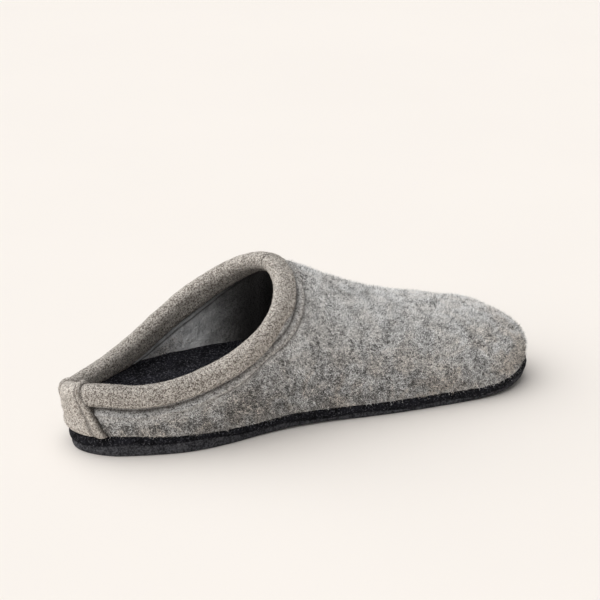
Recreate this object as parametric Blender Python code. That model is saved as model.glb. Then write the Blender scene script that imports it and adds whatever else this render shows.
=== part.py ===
"""A felt house slipper with a low back, for the left foot.

The foot points along +X, the little-toe side lies at +Y and the big-toe side at -Y.
Lengths are metres. The sole stands on z = 0.
A thick felt upper stands on the edge of a felt midsole with a thin outsole under it.
A knitted binding is folded over the collar, and a tab covers its seam at the heel.
"""

import math
from collections import namedtuple

import bmesh
import bpy
import numpy as np
from mathutils import Vector
from mathutils.bvhtree import BVHTree

# Sole
SOLE_LENGTH = 0.264
HEEL_WIDTH = 0.076
BALL_WIDTH = 0.098
TOE_SWING = -0.018
ARCH_LIFT = 0.0008
TOE_SPRING = 0.0075
OUTSOLE_THICKNESS = 0.0026
HEEL_WEDGE = 0.0036
OUTSOLE_SET_IN = 0.0013
OUTSOLE_EDGE_ROUND = 0.0007
MIDSOLE_THICKNESS = 0.0042
MIDSOLE_WAIST_THICKNESS = 0.0028
MIDSOLE_EDGE_ROUND = 0.0007
FOOTBED_HEEL_HEIGHT = 0.0232
FOOTBED_TOE_HEIGHT = 0.0150
INSOLE_EDGE_ROUND = 0.0022
CLEARANCE = 0.0003

# Upper
FELT_WALL = 0.0030
FELT_SET_IN = 0.0010
COLLAR_SETBACK = 0.0008
THROAT_PLACE = 0.1155
CROWN_PLACE = 0.224
INSTEP_HEIGHT = 0.080
HEEL_HEIGHT = 0.0303

# Binding and heel tab. BINDING_GAP keeps the binding clear of the felt's flat faces
# where both bend, so it is more than CLEARANCE.
BINDING_THICKNESS = 0.0022
BINDING_WIDTH = 0.0070
BINDING_INNER_WIDTH = 0.0100
BINDING_GAP = 0.0008
TAB_THICKNESS = 0.0015
TAB_TOP_WIDTH = 0.020
TAB_FOOT_WIDTH = 0.038

# Fineness of the meshes
SOLE_STEPS = 36
COLLAR_RIBS = 30
VAMP_RIBS = 20
LOWER_ROWS = 9
BINDING_ROWS = 3
ROLL_STEPS = 6
TAB_COLUMNS = 8

# Outline of the sole from heel to toe, measured from the middle line.
# along is a share of SOLE_LENGTH, inner and outer are shares of the width that the row follows.
OutlineRow = namedtuple("OutlineRow", "along follows inner outer")
OUTLINE = (
    OutlineRow(0.04, HEEL_WIDTH, 0.265, 0.250),
    OutlineRow(0.12, HEEL_WIDTH, 0.412, 0.435),
    OutlineRow(0.22, HEEL_WIDTH, 0.500, 0.500),
    OutlineRow(0.34, HEEL_WIDTH, 0.490, 0.534),
    OutlineRow(0.46, BALL_WIDTH, 0.409, 0.410),
    OutlineRow(0.60, BALL_WIDTH, 0.494, 0.453),
    OutlineRow(0.74, BALL_WIDTH, 0.561, 0.437),
    OutlineRow(0.86, BALL_WIDTH, 0.589, 0.315),
    OutlineRow(0.95, BALL_WIDTH, 0.492, 0.130),
)

# The collar's edge from the middle of the heel to the middle of the throat.
# along is a share of the collar's length, and inner and outer are shares of HEEL_WIDTH.
# The two rises are shares of the way from HEEL_HEIGHT up to INSTEP_HEIGHT: the collar
# stands a little higher on the inner side of the heel.
CollarRow = namedtuple("CollarRow", "along inner outer inner_rise outer_rise")
COLLAR = (
    CollarRow(0.08, 0.225, 0.200, 0.070, -0.040),
    CollarRow(0.24, 0.350, 0.315, 0.042, 0.000),
    CollarRow(0.47, 0.475, 0.440, 0.160, 0.160),
    CollarRow(0.69, 0.535, 0.510, 0.395, 0.410),
    CollarRow(0.87, 0.460, 0.430, 0.655, 0.686),
)

# The ridge of the upper from the throat to the crown of the toe.
# along is a share of the way, sideways a share of TOE_SWING and fall a share of
# the drop from INSTEP_HEIGHT to the sole.
RidgeRow = namedtuple("RidgeRow", "along sideways fall")
RIDGE = (
    RidgeRow(0.00, 0.00, 0.00),
    RidgeRow(0.10, 0.05, 0.048),
    RidgeRow(0.25, 0.15, 0.163),
    RidgeRow(0.50, 0.40, 0.340),
    RidgeRow(0.75, 0.70, 0.457),
    RidgeRow(1.00, 0.95, 0.558),
)

# How a rib of the upper bends on its way down to the sole.
# place runs from 0 at the heel to 1 at the toe, top_reach and foot_reach say how long the
# rib keeps its first direction at either end, and swell how far it leans out at the foot.
RibRow = namedtuple("RibRow", "place top_reach foot_reach swell")
RIB_FORM = (
    RibRow(0.00, 0.35, 0.35, 0.05),
    RibRow(0.30, 0.35, 0.40, 0.05),
    RibRow(0.50, 0.50, 0.50, 0.10),
    RibRow(0.75, 0.55, 0.55, 0.12),
    RibRow(1.00, 0.45, 0.50, 0.10),
)

# The ribs' feet run ahead of the collar, so that they spread evenly under the throat.
THROAT_FOOT = 0.50
FOOT_LEAD = 0.14
LAY_POWER = 4.0
FAN_START = 0.62
FAN_EASE = 0.15

# How finely ribs, directions and slopes are read from the curves.
RIB_SAMPLES = 60
NORMAL_REACH = 0.002
SLOPE_REACH = 0.01
RIB_STEP = 0.05
POINT_DIGITS = 7
SHARP_ANGLE = 45

# Where the sole leaves the floor, where its heel wedge runs and where the midsole thins
# at the waist, as shares of the sole's length.
ARCH_START = 0.28
ARCH_END = 0.58
SPRING_START = 0.74
WEDGE_FULL = 0.12
WEDGE_START = 0.45
THIN_START = 0.07
THIN_FULL_START = 0.15
THIN_FULL_END = 0.31
THIN_END = 0.42

FELT_GREY = (0.33, 0.31, 0.29)
KNIT_BEIGE = (0.38, 0.34, 0.29)
FELT_BLACK = (0.016, 0.016, 0.020)
LATEX_GREY = (0.060, 0.060, 0.064)
FELT_ROUGHNESS = 0.95
KNIT_ROUGHNESS = 0.90
LATEX_ROUGHNESS = 0.85


def smooth_curve(places, values, flat_ends=False):
    """Return a curve through the values that bends as evenly as a thin batten."""
    x = np.array(places, dtype=float)
    y = np.array(values, dtype=float)
    last = len(x) - 1
    step = np.diff(x)
    slope = np.diff(y) / step
    system = np.eye(last + 1)
    right = np.zeros(last + 1)
    for k in range(1, last):
        system[k, k - 1:k + 2] = step[k - 1], 2 * (step[k - 1] + step[k]), step[k]
        right[k] = 6 * (slope[k] - slope[k - 1])
    if flat_ends:
        system[0, 0:2] = 2 * step[0], step[0]
        system[last, last - 1:] = step[-1], 2 * step[-1]
        right[0] = 6 * slope[0]
        right[last] = -6 * slope[-1]
    bend = np.linalg.solve(system, right)

    def at(place):
        k = int(np.clip(np.searchsorted(x, place) - 1, 0, last - 1))
        a = (x[k + 1] - place) / step[k]
        b = 1 - a
        curved = (a**3 - a) * bend[k] + (b**3 - b) * bend[k + 1]
        return float(a * y[k] + b * y[k + 1] + curved * step[k]**2 / 6)

    return at


def turn_of(along):
    """Turn a share of a length into a share of a half turn, dense at both round ends."""
    return math.acos(1 - 2 * along) / math.pi


def along_of(turn):
    return (1 - math.cos(math.pi * turn)) / 2


def eased(share):
    share = min(max(share, 0.0), 1.0)
    return share * share * (3 - 2 * share)


def side_curve(rows, sizes, end):
    turns = [0.0] + [turn_of(row.along) for row in rows] + [1.0]
    return smooth_curve(turns, [0.0] + sizes + [end])


def rise_curve(rows):
    """Rise round the whole collar: the turn is negative along the outer side."""
    turns = [turn_of(row.along) for row in rows]
    outer = [-1.0] + [-turn for turn in reversed(turns)]
    rises = [1.0] + [row.outer_rise for row in reversed(rows)]
    inner_rises = [row.inner_rise for row in rows] + [1.0]
    return smooth_curve(outer + [0.0] + turns + [1.0], rises + [0.0] + inner_rises, flat_ends=True)


OUTLINE_INNER = side_curve(OUTLINE, [-row.inner * row.follows for row in OUTLINE], TOE_SWING)
OUTLINE_OUTER = side_curve(OUTLINE, [row.outer * row.follows for row in OUTLINE], TOE_SWING)
COLLAR_INNER = side_curve(COLLAR, [-row.inner * HEEL_WIDTH for row in COLLAR], 0.0)
COLLAR_OUTER = side_curve(COLLAR, [row.outer * HEEL_WIDTH for row in COLLAR], 0.0)
COLLAR_RISE = rise_curve(COLLAR)
RIDGE_SIDE = smooth_curve([row.along for row in RIDGE], [row.sideways for row in RIDGE])
RIDGE_FALL = smooth_curve([row.along for row in RIDGE], [row.fall for row in RIDGE])
TOP_REACH = smooth_curve([row.place for row in RIB_FORM], [row.top_reach for row in RIB_FORM])
FOOT_REACH = smooth_curve([row.place for row in RIB_FORM], [row.foot_reach for row in RIB_FORM])
SWELL = smooth_curve([row.place for row in RIB_FORM], [row.swell for row in RIB_FORM])


def floor_lift(x):
    """Height of the sole's underside over the floor: a low arch and the toe spring."""
    along = x / SOLE_LENGTH
    waist = min(max((along - ARCH_START) / (ARCH_END - ARCH_START), 0.0), 1.0)
    toe = max((along - SPRING_START) / (1 - SPRING_START), 0.0)
    return ARCH_LIFT * math.sin(math.pi * waist)**2 + TOE_SPRING * toe * toe


def outsole_top(x):
    """Height of the outsole's upper face, which rises in a low wedge under the heel."""
    share = (WEDGE_START - x / SOLE_LENGTH) / (WEDGE_START - WEDGE_FULL)
    return floor_lift(x) + OUTSOLE_THICKNESS + HEEL_WEDGE * eased(share)


def sole_top(x):
    """Top of the midsole, which is pressed thin between the heel and the ball."""
    along = x / SOLE_LENGTH
    behind = eased((along - THIN_START) / (THIN_FULL_START - THIN_START))
    ahead = eased((THIN_END - along) / (THIN_END - THIN_FULL_END))
    thinner = (MIDSOLE_THICKNESS - MIDSOLE_WAIST_THICKNESS) * min(behind, ahead)
    return outsole_top(x) + CLEARANCE + MIDSOLE_THICKNESS - thinner


def outline_point(turn, side, set_in=0.0):
    """Point of the sole's outline in plan; side is -1 for the inner and 1 for the outer edge."""
    curve = OUTLINE_INNER if side < 0 else OUTLINE_OUTER
    point = Vector((SOLE_LENGTH * along_of(turn), curve(turn)))
    return point - outline_normal(turn, side) * set_in


def outline_normal(turn, side):
    """Outward direction of the outline in plan."""
    curve = OUTLINE_INNER if side < 0 else OUTLINE_OUTER
    if turn <= 0.0:
        return Vector((-1.0, 0.0))
    if turn >= 1.0:
        return Vector((1.0, 0.0))
    low = max(turn - NORMAL_REACH, 0.0)
    high = min(turn + NORMAL_REACH, 1.0)
    run = Vector((SOLE_LENGTH * (along_of(high) - along_of(low)), curve(high) - curve(low)))
    return (Vector((-run.y, run.x)) * side).normalized()


def outline_ring(set_in):
    """The outline's points in order, out along the inner side and back along the outer."""
    out = [outline_point(k / SOLE_STEPS, -1, set_in) for k in range(SOLE_STEPS + 1)]
    back = [outline_point(k / SOLE_STEPS, 1, set_in) for k in range(SOLE_STEPS - 1, 0, -1)]
    return out + back


def make_object(name, points, faces, material, parent):
    """Build one named mesh object with its faces pointing out."""
    mesh = bpy.data.meshes.new(name)
    mesh.from_pydata([tuple(point) for point in points], [], faces)
    form = bmesh.new()
    form.from_mesh(mesh)
    bmesh.ops.recalc_face_normals(form, faces=form.faces)
    form.to_mesh(mesh)
    form.free()
    mesh.shade_smooth()
    mesh.set_sharp_from_angle(angle=math.radians(SHARP_ANGLE))
    mesh.materials.append(material)
    shape = bpy.data.objects.new(name, mesh)
    shape.parent = parent
    bpy.context.scene.collection.objects.link(shape)
    return shape


def ladder_faces(first, count):
    """Faces across a ring of points, from one side of the sole straight to the other."""
    faces = [(first, first + 1, first + count - 1)]
    half = count // 2
    for k in range(1, half - 1):
        faces.append((first + k, first + k + 1, first + count - k - 1, first + count - k))
    faces.append((first + half - 1, first + half, first + half + 1))
    return faces


def stack_layer(name, rings, material, parent):
    """One flat layer of the sole from rings of points, stacked from underside to top."""
    points = [point for ring in rings for point in ring]
    count = len(rings[0])
    faces = ladder_faces(0, count)
    for level in range(len(rings) - 1):
        low = level * count
        for k in range(count):
            after = (k + 1) % count
            faces.append((low + k, low + after, low + count + after, low + count + k))
    faces += ladder_faces((len(rings) - 1) * count, count)
    return make_object(name, points, faces, material, parent)


def level_ring(set_in, height):
    """The sole's outline, set in and laid at a height given as a function of x."""
    return [Vector((point.x, point.y, height(point.x))) for point in outline_ring(set_in)]


def make_outsole(material, parent):
    rings = (
        level_ring(OUTSOLE_SET_IN + OUTSOLE_EDGE_ROUND, floor_lift),
        level_ring(OUTSOLE_SET_IN, lambda x: floor_lift(x) + OUTSOLE_EDGE_ROUND),
        level_ring(OUTSOLE_SET_IN, outsole_top),
    )
    return stack_layer("outsole", rings, material, parent)


def make_midsole(material, parent):
    rings = (
        level_ring(MIDSOLE_EDGE_ROUND, lambda x: outsole_top(x) + CLEARANCE),
        level_ring(0.0, lambda x: outsole_top(x) + CLEARANCE + MIDSOLE_EDGE_ROUND),
        level_ring(0.0, lambda x: sole_top(x) - MIDSOLE_EDGE_ROUND),
        level_ring(MIDSOLE_EDGE_ROUND, sole_top),
    )
    return stack_layer("midsole", rings, material, parent)


def footbed_top(x):
    """Top of the insole, which slopes down towards the toe and lifts with its spring."""
    drop = (FOOTBED_HEEL_HEIGHT - FOOTBED_TOE_HEIGHT) * eased(x / SOLE_LENGTH)
    return floor_lift(x) + FOOTBED_HEEL_HEIGHT - drop


def inset_ring(points, inset):
    """Move a flat ring of points in by a distance, square to its own edge."""
    count = len(points)
    ring = []
    for k, point in enumerate(points):
        run = points[(k + 1) % count] - points[k - 1]
        inward = Vector((-run.y, run.x, 0.0)).normalized()
        ring.append(point + inward * inset)
    return ring


def make_insole(skin, material, parent):
    """The footbed, which fills the upper from wall to wall."""
    rings = []
    for inset, height in (
        (2 * CLEARANCE, lambda x: sole_top(x) + CLEARANCE),
        (2 * CLEARANCE, lambda x: footbed_top(x) - INSOLE_EDGE_ROUND),
        (2 * CLEARANCE + INSOLE_EDGE_ROUND, footbed_top),
    ):
        ring = inset_ring([skin.inside_at(rib, height) for rib in range(skin.count)], inset)
        rings.append([Vector((point.x, point.y, height(point.x))) for point in ring])
    return stack_layer("insole", rings, material, parent)


def feather_height(x):
    return sole_top(x) + CLEARANCE


def collar_point(turn, side):
    """Point of the felt's collar edge, on its outer skin."""
    curve = COLLAR_INNER if side < 0 else COLLAR_OUTER
    length = THROAT_PLACE + COLLAR_SETBACK
    height = HEEL_HEIGHT + (INSTEP_HEIGHT - HEEL_HEIGHT) * COLLAR_RISE(-side * turn)
    return Vector((length * along_of(turn) - COLLAR_SETBACK, curve(turn), height))


def ridge_point(share):
    """Point of the upper's ridge between the throat and the crown of the toe."""
    x = THROAT_PLACE + (CROWN_PLACE - THROAT_PLACE) * share
    drop = (INSTEP_HEIGHT - feather_height(x)) * RIDGE_FALL(share)
    return Vector((x, TOE_SWING * RIDGE_SIDE(share), INSTEP_HEIGHT - drop))


def ridge_slope(share):
    low = ridge_point(max(share - SLOPE_REACH, 0.0))
    high = ridge_point(min(share + SLOPE_REACH, 1.0))
    return (high.z - low.z) / (high.x - low.x)


def eased_stop(share):
    """Rise evenly to 1 at FAN_START and then stay, with a soft bend between."""
    start = FAN_START - FAN_EASE
    if share <= start:
        return share / FAN_START
    rest = min((share - start) / (2 * FAN_EASE), 1.0)
    return (start + 2 * FAN_EASE * (rest - rest * rest / 2)) / FAN_START


def rib_ends(rib, side):
    """Top, foot, plan direction, lay and ridge slope of one rib.

    Ribs 0 to COLLAR_RIBS start at the collar, and the rest at the ridge. The lay is the
    angle between the rib's first direction and straight down.
    """
    if rib <= COLLAR_RIBS:
        turn = rib / COLLAR_RIBS
        top = collar_point(turn, side)
        foot_turn = THROAT_FOOT * turn + FOOT_LEAD * turn * (1 - turn)
        lay = math.pi / 2 * turn**LAY_POWER
        slope = ridge_slope(0.0)
    else:
        share = (rib - COLLAR_RIBS) / VAMP_RIBS
        turn = 1.0
        ridge = eased_stop(share)
        top = ridge_point(ridge)
        foot_turn = THROAT_FOOT + (1 - THROAT_FOOT) * share
        lay = math.pi / 2
        slope = ridge_slope(ridge)
    plan = outline_point(foot_turn, side, FELT_SET_IN)
    foot = Vector((plan.x, plan.y, feather_height(plan.x)))
    outward = outline_normal(foot_turn, side)
    across = (plan - top.xy).normalized()
    heading = (outward * (1 - turn) + across * turn).normalized()
    return top, foot, outward, heading, lay, slope, foot_turn


def rib_curve(rib, side):
    """Points down one rib of the upper's outer skin, from its top to the sole."""
    top, foot, outward, heading, lay, slope, place = rib_ends(rib, side)
    drop = top.z - foot.z
    width = (foot.xy - top.xy).length
    first = Vector((heading.x, heading.y, slope * heading.x)) * math.sin(lay)
    first.z -= math.cos(lay)
    first *= TOP_REACH(place) * (width * math.sin(lay) + drop * math.cos(lay))
    lean = SWELL(place)
    last = Vector((outward.x * lean, outward.y * lean, 1.0)) * FOOT_REACH(place) * drop
    points = []
    for k in range(RIB_SAMPLES + 1):
        b = k / RIB_SAMPLES
        a = 1 - b
        upper_part = a**3 * top + 3 * a * a * b * (top + first)
        lower_part = 3 * a * b * b * (foot + last) + b**3 * foot
        points.append(upper_part + lower_part)
    return points


def even_rows(points):
    """Rows down a rib: a few under the binding, and then evenly to the sole."""
    run = np.array([0.0] + [(b - a).length for a, b in zip(points, points[1:])]).cumsum()
    table = np.array(points)
    rows = [BINDING_WIDTH * k / BINDING_ROWS for k in range(BINDING_ROWS)]
    rows += list(np.linspace(BINDING_WIDTH, run[-1], LOWER_ROWS + 1))
    return [Vector([np.interp(row, run, table[:, axis]) for axis in range(3)]) for row in rows]


class Skin:
    """The upper's outer skin as a net of points, with an outward direction at each."""

    def __init__(self):
        last = COLLAR_RIBS + VAMP_RIBS
        inner = [even_rows(rib_curve(rib, -1)) for rib in range(last + 1)]
        outer = [even_rows(rib_curve(rib, 1)) for rib in range(last - 1, 0, -1)]
        self.ribs = inner + outer
        self.count = len(self.ribs)
        self.rows = len(self.ribs[0])
        self.points = []
        self.index = []
        known = {}
        for rib in self.ribs:
            column = []
            for point in rib:
                key = tuple(round(value, POINT_DIGITS) for value in point)
                if key not in known:
                    known[key] = len(self.points)
                    self.points.append(point)
                column.append(known[key])
            self.index.append(column)
        self.faces = self.net_faces()
        self.normals = self.point_normals()
        self.inside = self.inner_points()
        self.tree = BVHTree.FromPolygons(self.points, self.faces)

    def net_faces(self):
        faces = []
        for k in range(self.count):
            here = self.index[k]
            after = self.index[(k + 1) % self.count]
            for row in range(self.rows - 1):
                corners = [here[row], here[row + 1], after[row + 1], after[row]]
                faces.append(tuple(dict.fromkeys(corners)))
        return faces

    def point_normals(self):
        sums = [Vector((0.0, 0.0, 0.0)) for _ in self.points]
        for face in self.faces:
            a, b, c = (self.points[k] for k in (face[0], face[1], face[-1]))
            d = self.points[face[-2]]
            normal = (b - a).cross(c - a) + (d - b).cross(c - b)
            for corner in face:
                sums[corner] += normal
        return [total.normalized() for total in sums]

    def inner_points(self):
        """The inner skin: each point moved in by the wall, and level with it at the sole."""
        foot = {column[-1] for column in self.index}
        inside = []
        for k, (point, normal) in enumerate(zip(self.points, self.normals)):
            if k in foot:
                flat = Vector((normal.x, normal.y, 0.0)).normalized()
                inner = point - flat * FELT_WALL
                inner.z = feather_height(inner.x)
            else:
                inner = point - normal * FELT_WALL
            inside.append(inner)
        return inside

    def inside_at(self, rib, height):
        """Where the inner skin of one rib passes a height, given as a function of x."""
        column = [self.inside[k] for k in reversed(self.index[rib])]
        for low, high in zip(column, column[1:]):
            rise = high.z - height(high.x)
            if rise >= 0:
                below = low.z - height(low.x)
                share = -below / (rise - below)
                return low.lerp(high, max(share, 0.0))
        return column[-1].copy()

    def at(self, rib, row, offset):
        """Point on the skin, pushed out by offset; rib and row may lie between two lines."""
        low_rib = math.floor(rib)
        low_row = min(math.floor(row), self.rows - 2)
        across = rib - low_rib
        down = row - low_row
        point = Vector((0.0, 0.0, 0.0))
        normal = Vector((0.0, 0.0, 0.0))
        for step, share in ((0, 1 - across), (1, across)):
            column = self.index[(low_rib + step) % self.count]
            for drop, part in ((0, 1 - down), (1, down)):
                weight = share * part
                point += self.points[column[low_row + drop]] * weight
                normal += self.normals[column[low_row + drop]] * weight
        return point + normal.normalized() * offset

    def up(self, rib, outward):
        """Direction out of the collar's edge, square to the edge and to the skin."""
        along = self.at(rib + RIB_STEP, 0, 0.0) - self.at(rib - RIB_STEP, 0, 0.0)
        return outward.cross(along).normalized()

    def near(self, place):
        """The skin's nearest point and its outward direction there."""
        point, _, face, _ = self.tree.find_nearest(place)
        normal = Vector((0.0, 0.0, 0.0))
        for corner in self.faces[face]:
            away = (self.points[corner] - point).length
            normal += self.normals[corner] / (away + CLEARANCE)
        return point, normal.normalized()


def on_collar(skin, rib):
    return rib <= COLLAR_RIBS or rib >= skin.count - COLLAR_RIBS


def room_inside(edge, outward):
    """How far a strip reaches down inside the collar: its full width, or to the footbed."""
    lean = (FELT_WALL + BINDING_THICKNESS + TAB_THICKNESS) * max(outward.z, 0.0)
    room = edge.z - lean - footbed_top(edge.x) - 3 * CLEARANCE
    return min(room, BINDING_INNER_WIDTH)


def make_upper(skin, material, parent):
    """The felt shell: outer skin, inner skin, and the strips at the collar and the sole."""
    total = len(skin.points)
    faces = list(skin.faces)
    faces += [tuple(total + k for k in reversed(face)) for face in skin.faces]
    for k in range(skin.count):
        after = (k + 1) % skin.count
        low, next_low = skin.index[k][-1], skin.index[after][-1]
        faces.append((low, next_low, total + next_low, total + low))
        if on_collar(skin, k) and on_collar(skin, after):
            top, next_top = skin.index[k][0], skin.index[after][0]
            faces.append((top, next_top, total + next_top, total + top))
    return make_object("upper", skin.points + skin.inside, faces, material, parent)


def roll(edge, outward, up, radius):
    """Points round the felt's top edge, from its outer to its inner skin."""
    middle = edge - outward * FELT_WALL / 2
    angles = [math.pi * k / ROLL_STEPS for k in range(1, ROLL_STEPS)]
    return [middle + (outward * math.cos(angle) + up * math.sin(angle)) * radius for angle in angles]


class BindingStation:
    """One place on the collar: the felt's edge there and the points square down from it."""

    def __init__(self, skin, before, edge, after, normal):
        self.edge = edge
        self.outward = normal
        self.up = (after - before).cross(normal).normalized()
        if self.up.dot(skin.near(edge + self.up * BINDING_WIDTH)[0] - edge) > 0:
            self.up = -self.up
        self.reach = room_inside(edge, normal)
        depths = [k / BINDING_ROWS for k in range(BINDING_ROWS + 1)]
        self.outer = [skin.near(self.below(BINDING_WIDTH * k)) for k in reversed(depths)]
        self.inner = [skin.near(self.below(self.reach * k)) for k in depths]

    def below(self, depth):
        return self.edge - self.up * depth

    def path(self, gap):
        """Points up the outer skin, round the edge and down inside, a gap off the felt."""
        points = [point + normal * gap for point, normal in self.outer]
        points += roll(self.edge, self.outward, self.up, FELT_WALL / 2 + gap)
        points += [point - normal * (FELT_WALL + gap) for point, normal in self.inner]
        return points


def binding_stations(skin):
    inner = range(COLLAR_RIBS + 1)
    outer = range(skin.count - COLLAR_RIBS + 1, skin.count)
    edge = [skin.index[rib][0] for rib in list(inner) + list(outer)]
    stations = []
    for k, corner in enumerate(edge):
        before = skin.points[edge[k - 1]]
        after = skin.points[edge[(k + 1) % len(edge)]]
        stations.append(BindingStation(skin, before, skin.points[corner], after, skin.normals[corner]))
    return stations


def make_binding(skin, material, parent):
    """The knitted strip folded over the collar's edge, as one closed ring."""
    points = []
    stations = binding_stations(skin)
    for station in stations:
        points += station.path(BINDING_GAP + BINDING_THICKNESS)
        points += station.path(BINDING_GAP)[::-1]
    ring = len(points) // len(stations)
    faces = []
    for k in range(len(stations)):
        here = k * ring
        after = (k + 1) % len(stations) * ring
        for corner in range(ring):
            beyond = (corner + 1) % ring
            faces.append((here + corner, after + corner, after + beyond, here + beyond))
    return make_object("collar_binding", points, faces, material, parent)


def tab_gap(row):
    """Distance of the tab's inner face from the felt: it steps out over the binding."""
    over_binding = BINDING_GAP + BINDING_THICKNESS
    return CLEARANCE + over_binding * (1 - eased(row - BINDING_ROWS - 1))


def tab_half_width(row, rows):
    share = min(row / (rows - 1), 1.0)
    return (TAB_TOP_WIDTH + (TAB_FOOT_WIDTH - TAB_TOP_WIDTH) * share) / 2


def rib_at_width(skin, row, width):
    """The place round the heel, in ribs, that lies a given distance from the middle line."""
    side = 1 if width < 0 else -1
    rib = 0.0
    while abs(skin.at(side * rib, row, 0.0).y) < abs(width):
        rib += RIB_STEP
    return side * rib


def tab_column(skin, share):
    """One closed line round the tab's thickness, at a share of its half width."""
    outside = []
    inside = []
    for row in range(skin.rows - 1, -1, -1):
        rib = rib_at_width(skin, row, share * tab_half_width(row, skin.rows))
        outside.append(skin.at(rib, row, tab_gap(row) + TAB_THICKNESS))
        inside.append(skin.at(rib, row, tab_gap(row)))
    edge = skin.at(rib, 0, 0.0)
    outward = (skin.at(rib, 0, 1.0) - edge).normalized()
    for line, gap in ((outside, tab_gap(0) + TAB_THICKNESS), (inside, tab_gap(0))):
        line += roll(edge, outward, skin.up(rib, outward), FELT_WALL / 2 + gap)
        rows = room_inside(edge, outward) / BINDING_WIDTH * BINDING_ROWS
        for k in range(BINDING_ROWS + 1):
            line.append(skin.at(rib, rows * k / BINDING_ROWS, -FELT_WALL - gap))
    return outside + inside[::-1]


def make_tab(skin, material, parent):
    """The tab at the heel: up the back, over the binding and down inside."""
    columns = [tab_column(skin, 2 * k / TAB_COLUMNS - 1) for k in range(TAB_COLUMNS + 1)]
    points = [point for column in columns for point in column]
    ring = len(columns[0])
    faces = [tuple(range(ring)), tuple(TAB_COLUMNS * ring + k for k in range(ring))]
    for k in range(TAB_COLUMNS):
        for corner in range(ring):
            beyond = (corner + 1) % ring
            here, after = k * ring, (k + 1) * ring
            faces.append((here + corner, after + corner, after + beyond, here + beyond))
    return make_object("heel_tab", points, faces, material, parent)


def make_material(name, colour, roughness):
    material = bpy.data.materials.new(name)
    material.use_nodes = True
    shader = material.node_tree.nodes["Principled BSDF"]
    shader.inputs["Base Color"].default_value = (*colour, 1.0)
    shader.inputs["Roughness"].default_value = roughness
    shader.inputs["Metallic"].default_value = 0.0
    return material


def centre_on_floor(parent, shapes):
    """Move the parent so that the slipper stands centred on the origin."""
    corners = np.array([vertex.co for shape in shapes for vertex in shape.data.vertices])
    low = corners.min(axis=0)
    high = corners.max(axis=0)
    parent.location = (-(low[0] + high[0]) / 2, -(low[1] + high[1]) / 2, -low[2])


def build():
    for old in list(bpy.data.objects):
        bpy.data.objects.remove(old)
    parent = bpy.data.objects.new("slipper_frame", None)
    bpy.context.scene.collection.objects.link(parent)
    skin = Skin()
    shapes = [
        make_outsole(make_material("latex_grey", LATEX_GREY, LATEX_ROUGHNESS), parent),
        make_midsole(make_material("felt_black", FELT_BLACK, FELT_ROUGHNESS), parent),
        make_insole(skin, make_material("footbed_black", FELT_BLACK, FELT_ROUGHNESS), parent),
        make_upper(skin, make_material("felt_grey", FELT_GREY, FELT_ROUGHNESS), parent),
        make_binding(skin, make_material("knit_binding", KNIT_BEIGE, KNIT_ROUGHNESS), parent),
        make_tab(skin, make_material("knit_tab", KNIT_BEIGE, KNIT_ROUGHNESS), parent),
    ]
    centre_on_floor(parent, shapes)


build()
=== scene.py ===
"""Looks of the left felt slipper: felt, knitted binding, footbed, sole and their nap.

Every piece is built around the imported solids, in metres, with the toe along +X and +Z up.
The tables repeat the solids' own sections, and the fine forms of the cloth are added to them.
"""

import math
from collections import namedtuple

import bpy
import numpy as np
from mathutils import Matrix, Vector, noise
from mathutils.bvhtree import BVHTree
from mathutils.kdtree import KDTree


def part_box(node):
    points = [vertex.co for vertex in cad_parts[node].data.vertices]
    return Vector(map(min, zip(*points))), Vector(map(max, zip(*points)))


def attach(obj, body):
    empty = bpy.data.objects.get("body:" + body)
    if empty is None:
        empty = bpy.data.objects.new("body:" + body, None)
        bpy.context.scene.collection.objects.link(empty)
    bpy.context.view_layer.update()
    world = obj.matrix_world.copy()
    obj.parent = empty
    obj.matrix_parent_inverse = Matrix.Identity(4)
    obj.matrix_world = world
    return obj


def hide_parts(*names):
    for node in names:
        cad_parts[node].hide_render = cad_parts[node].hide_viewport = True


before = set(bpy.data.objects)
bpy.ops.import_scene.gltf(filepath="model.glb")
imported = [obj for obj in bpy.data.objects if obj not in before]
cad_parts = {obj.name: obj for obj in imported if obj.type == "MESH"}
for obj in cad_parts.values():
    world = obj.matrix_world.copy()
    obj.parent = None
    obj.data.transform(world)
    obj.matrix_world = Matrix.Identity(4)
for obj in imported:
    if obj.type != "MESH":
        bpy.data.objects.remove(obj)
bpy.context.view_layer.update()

# Sizes of the solids
SOLE_LENGTH = 0.264
HEEL_WIDTH = 0.076
BALL_WIDTH = 0.098
TOE_SWING = -0.018
ARCH_LIFT = 0.0008
TOE_SPRING = 0.0075
OUTSOLE_THICKNESS = 0.0026
HEEL_WEDGE = 0.0036
OUTSOLE_SET_IN = 0.0013
MIDSOLE_THICKNESS = 0.0042
MIDSOLE_WAIST_THICKNESS = 0.0028
FOOTBED_HEEL_HEIGHT = 0.0232
FOOTBED_TOE_HEIGHT = 0.015
CLEARANCE = 0.0003
FELT_WALL = 0.003
FELT_SET_IN = 0.001
COLLAR_SETBACK = 0.0008
THROAT_PLACE = 0.1155
CROWN_PLACE = 0.224
INSTEP_HEIGHT = 0.08
HEEL_HEIGHT = 0.0303
BINDING_WIDTH = 0.007
BINDING_INNER_WIDTH = 0.01
TAB_TOP_WIDTH = 0.02
TAB_FOOT_WIDTH = 0.038

# Fineness of the meshes
SOLE_STEPS = 240
COLLAR_RIBS = 120
VAMP_RIBS = 80
LOWER_ROWS = 66
BINDING_ROWS = 10
ROLL_STEPS = 16
TAB_COLUMNS = 30
FOOTBED_COLUMNS = 30
RIB_SAMPLES = 60
NORMAL_REACH = 0.002
SLOPE_REACH = 0.01
POINT_DIGITS = 7
SHORTEST = 1e-12
SEED_SHIFT = (7.31, 3.17, 5.53)

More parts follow.
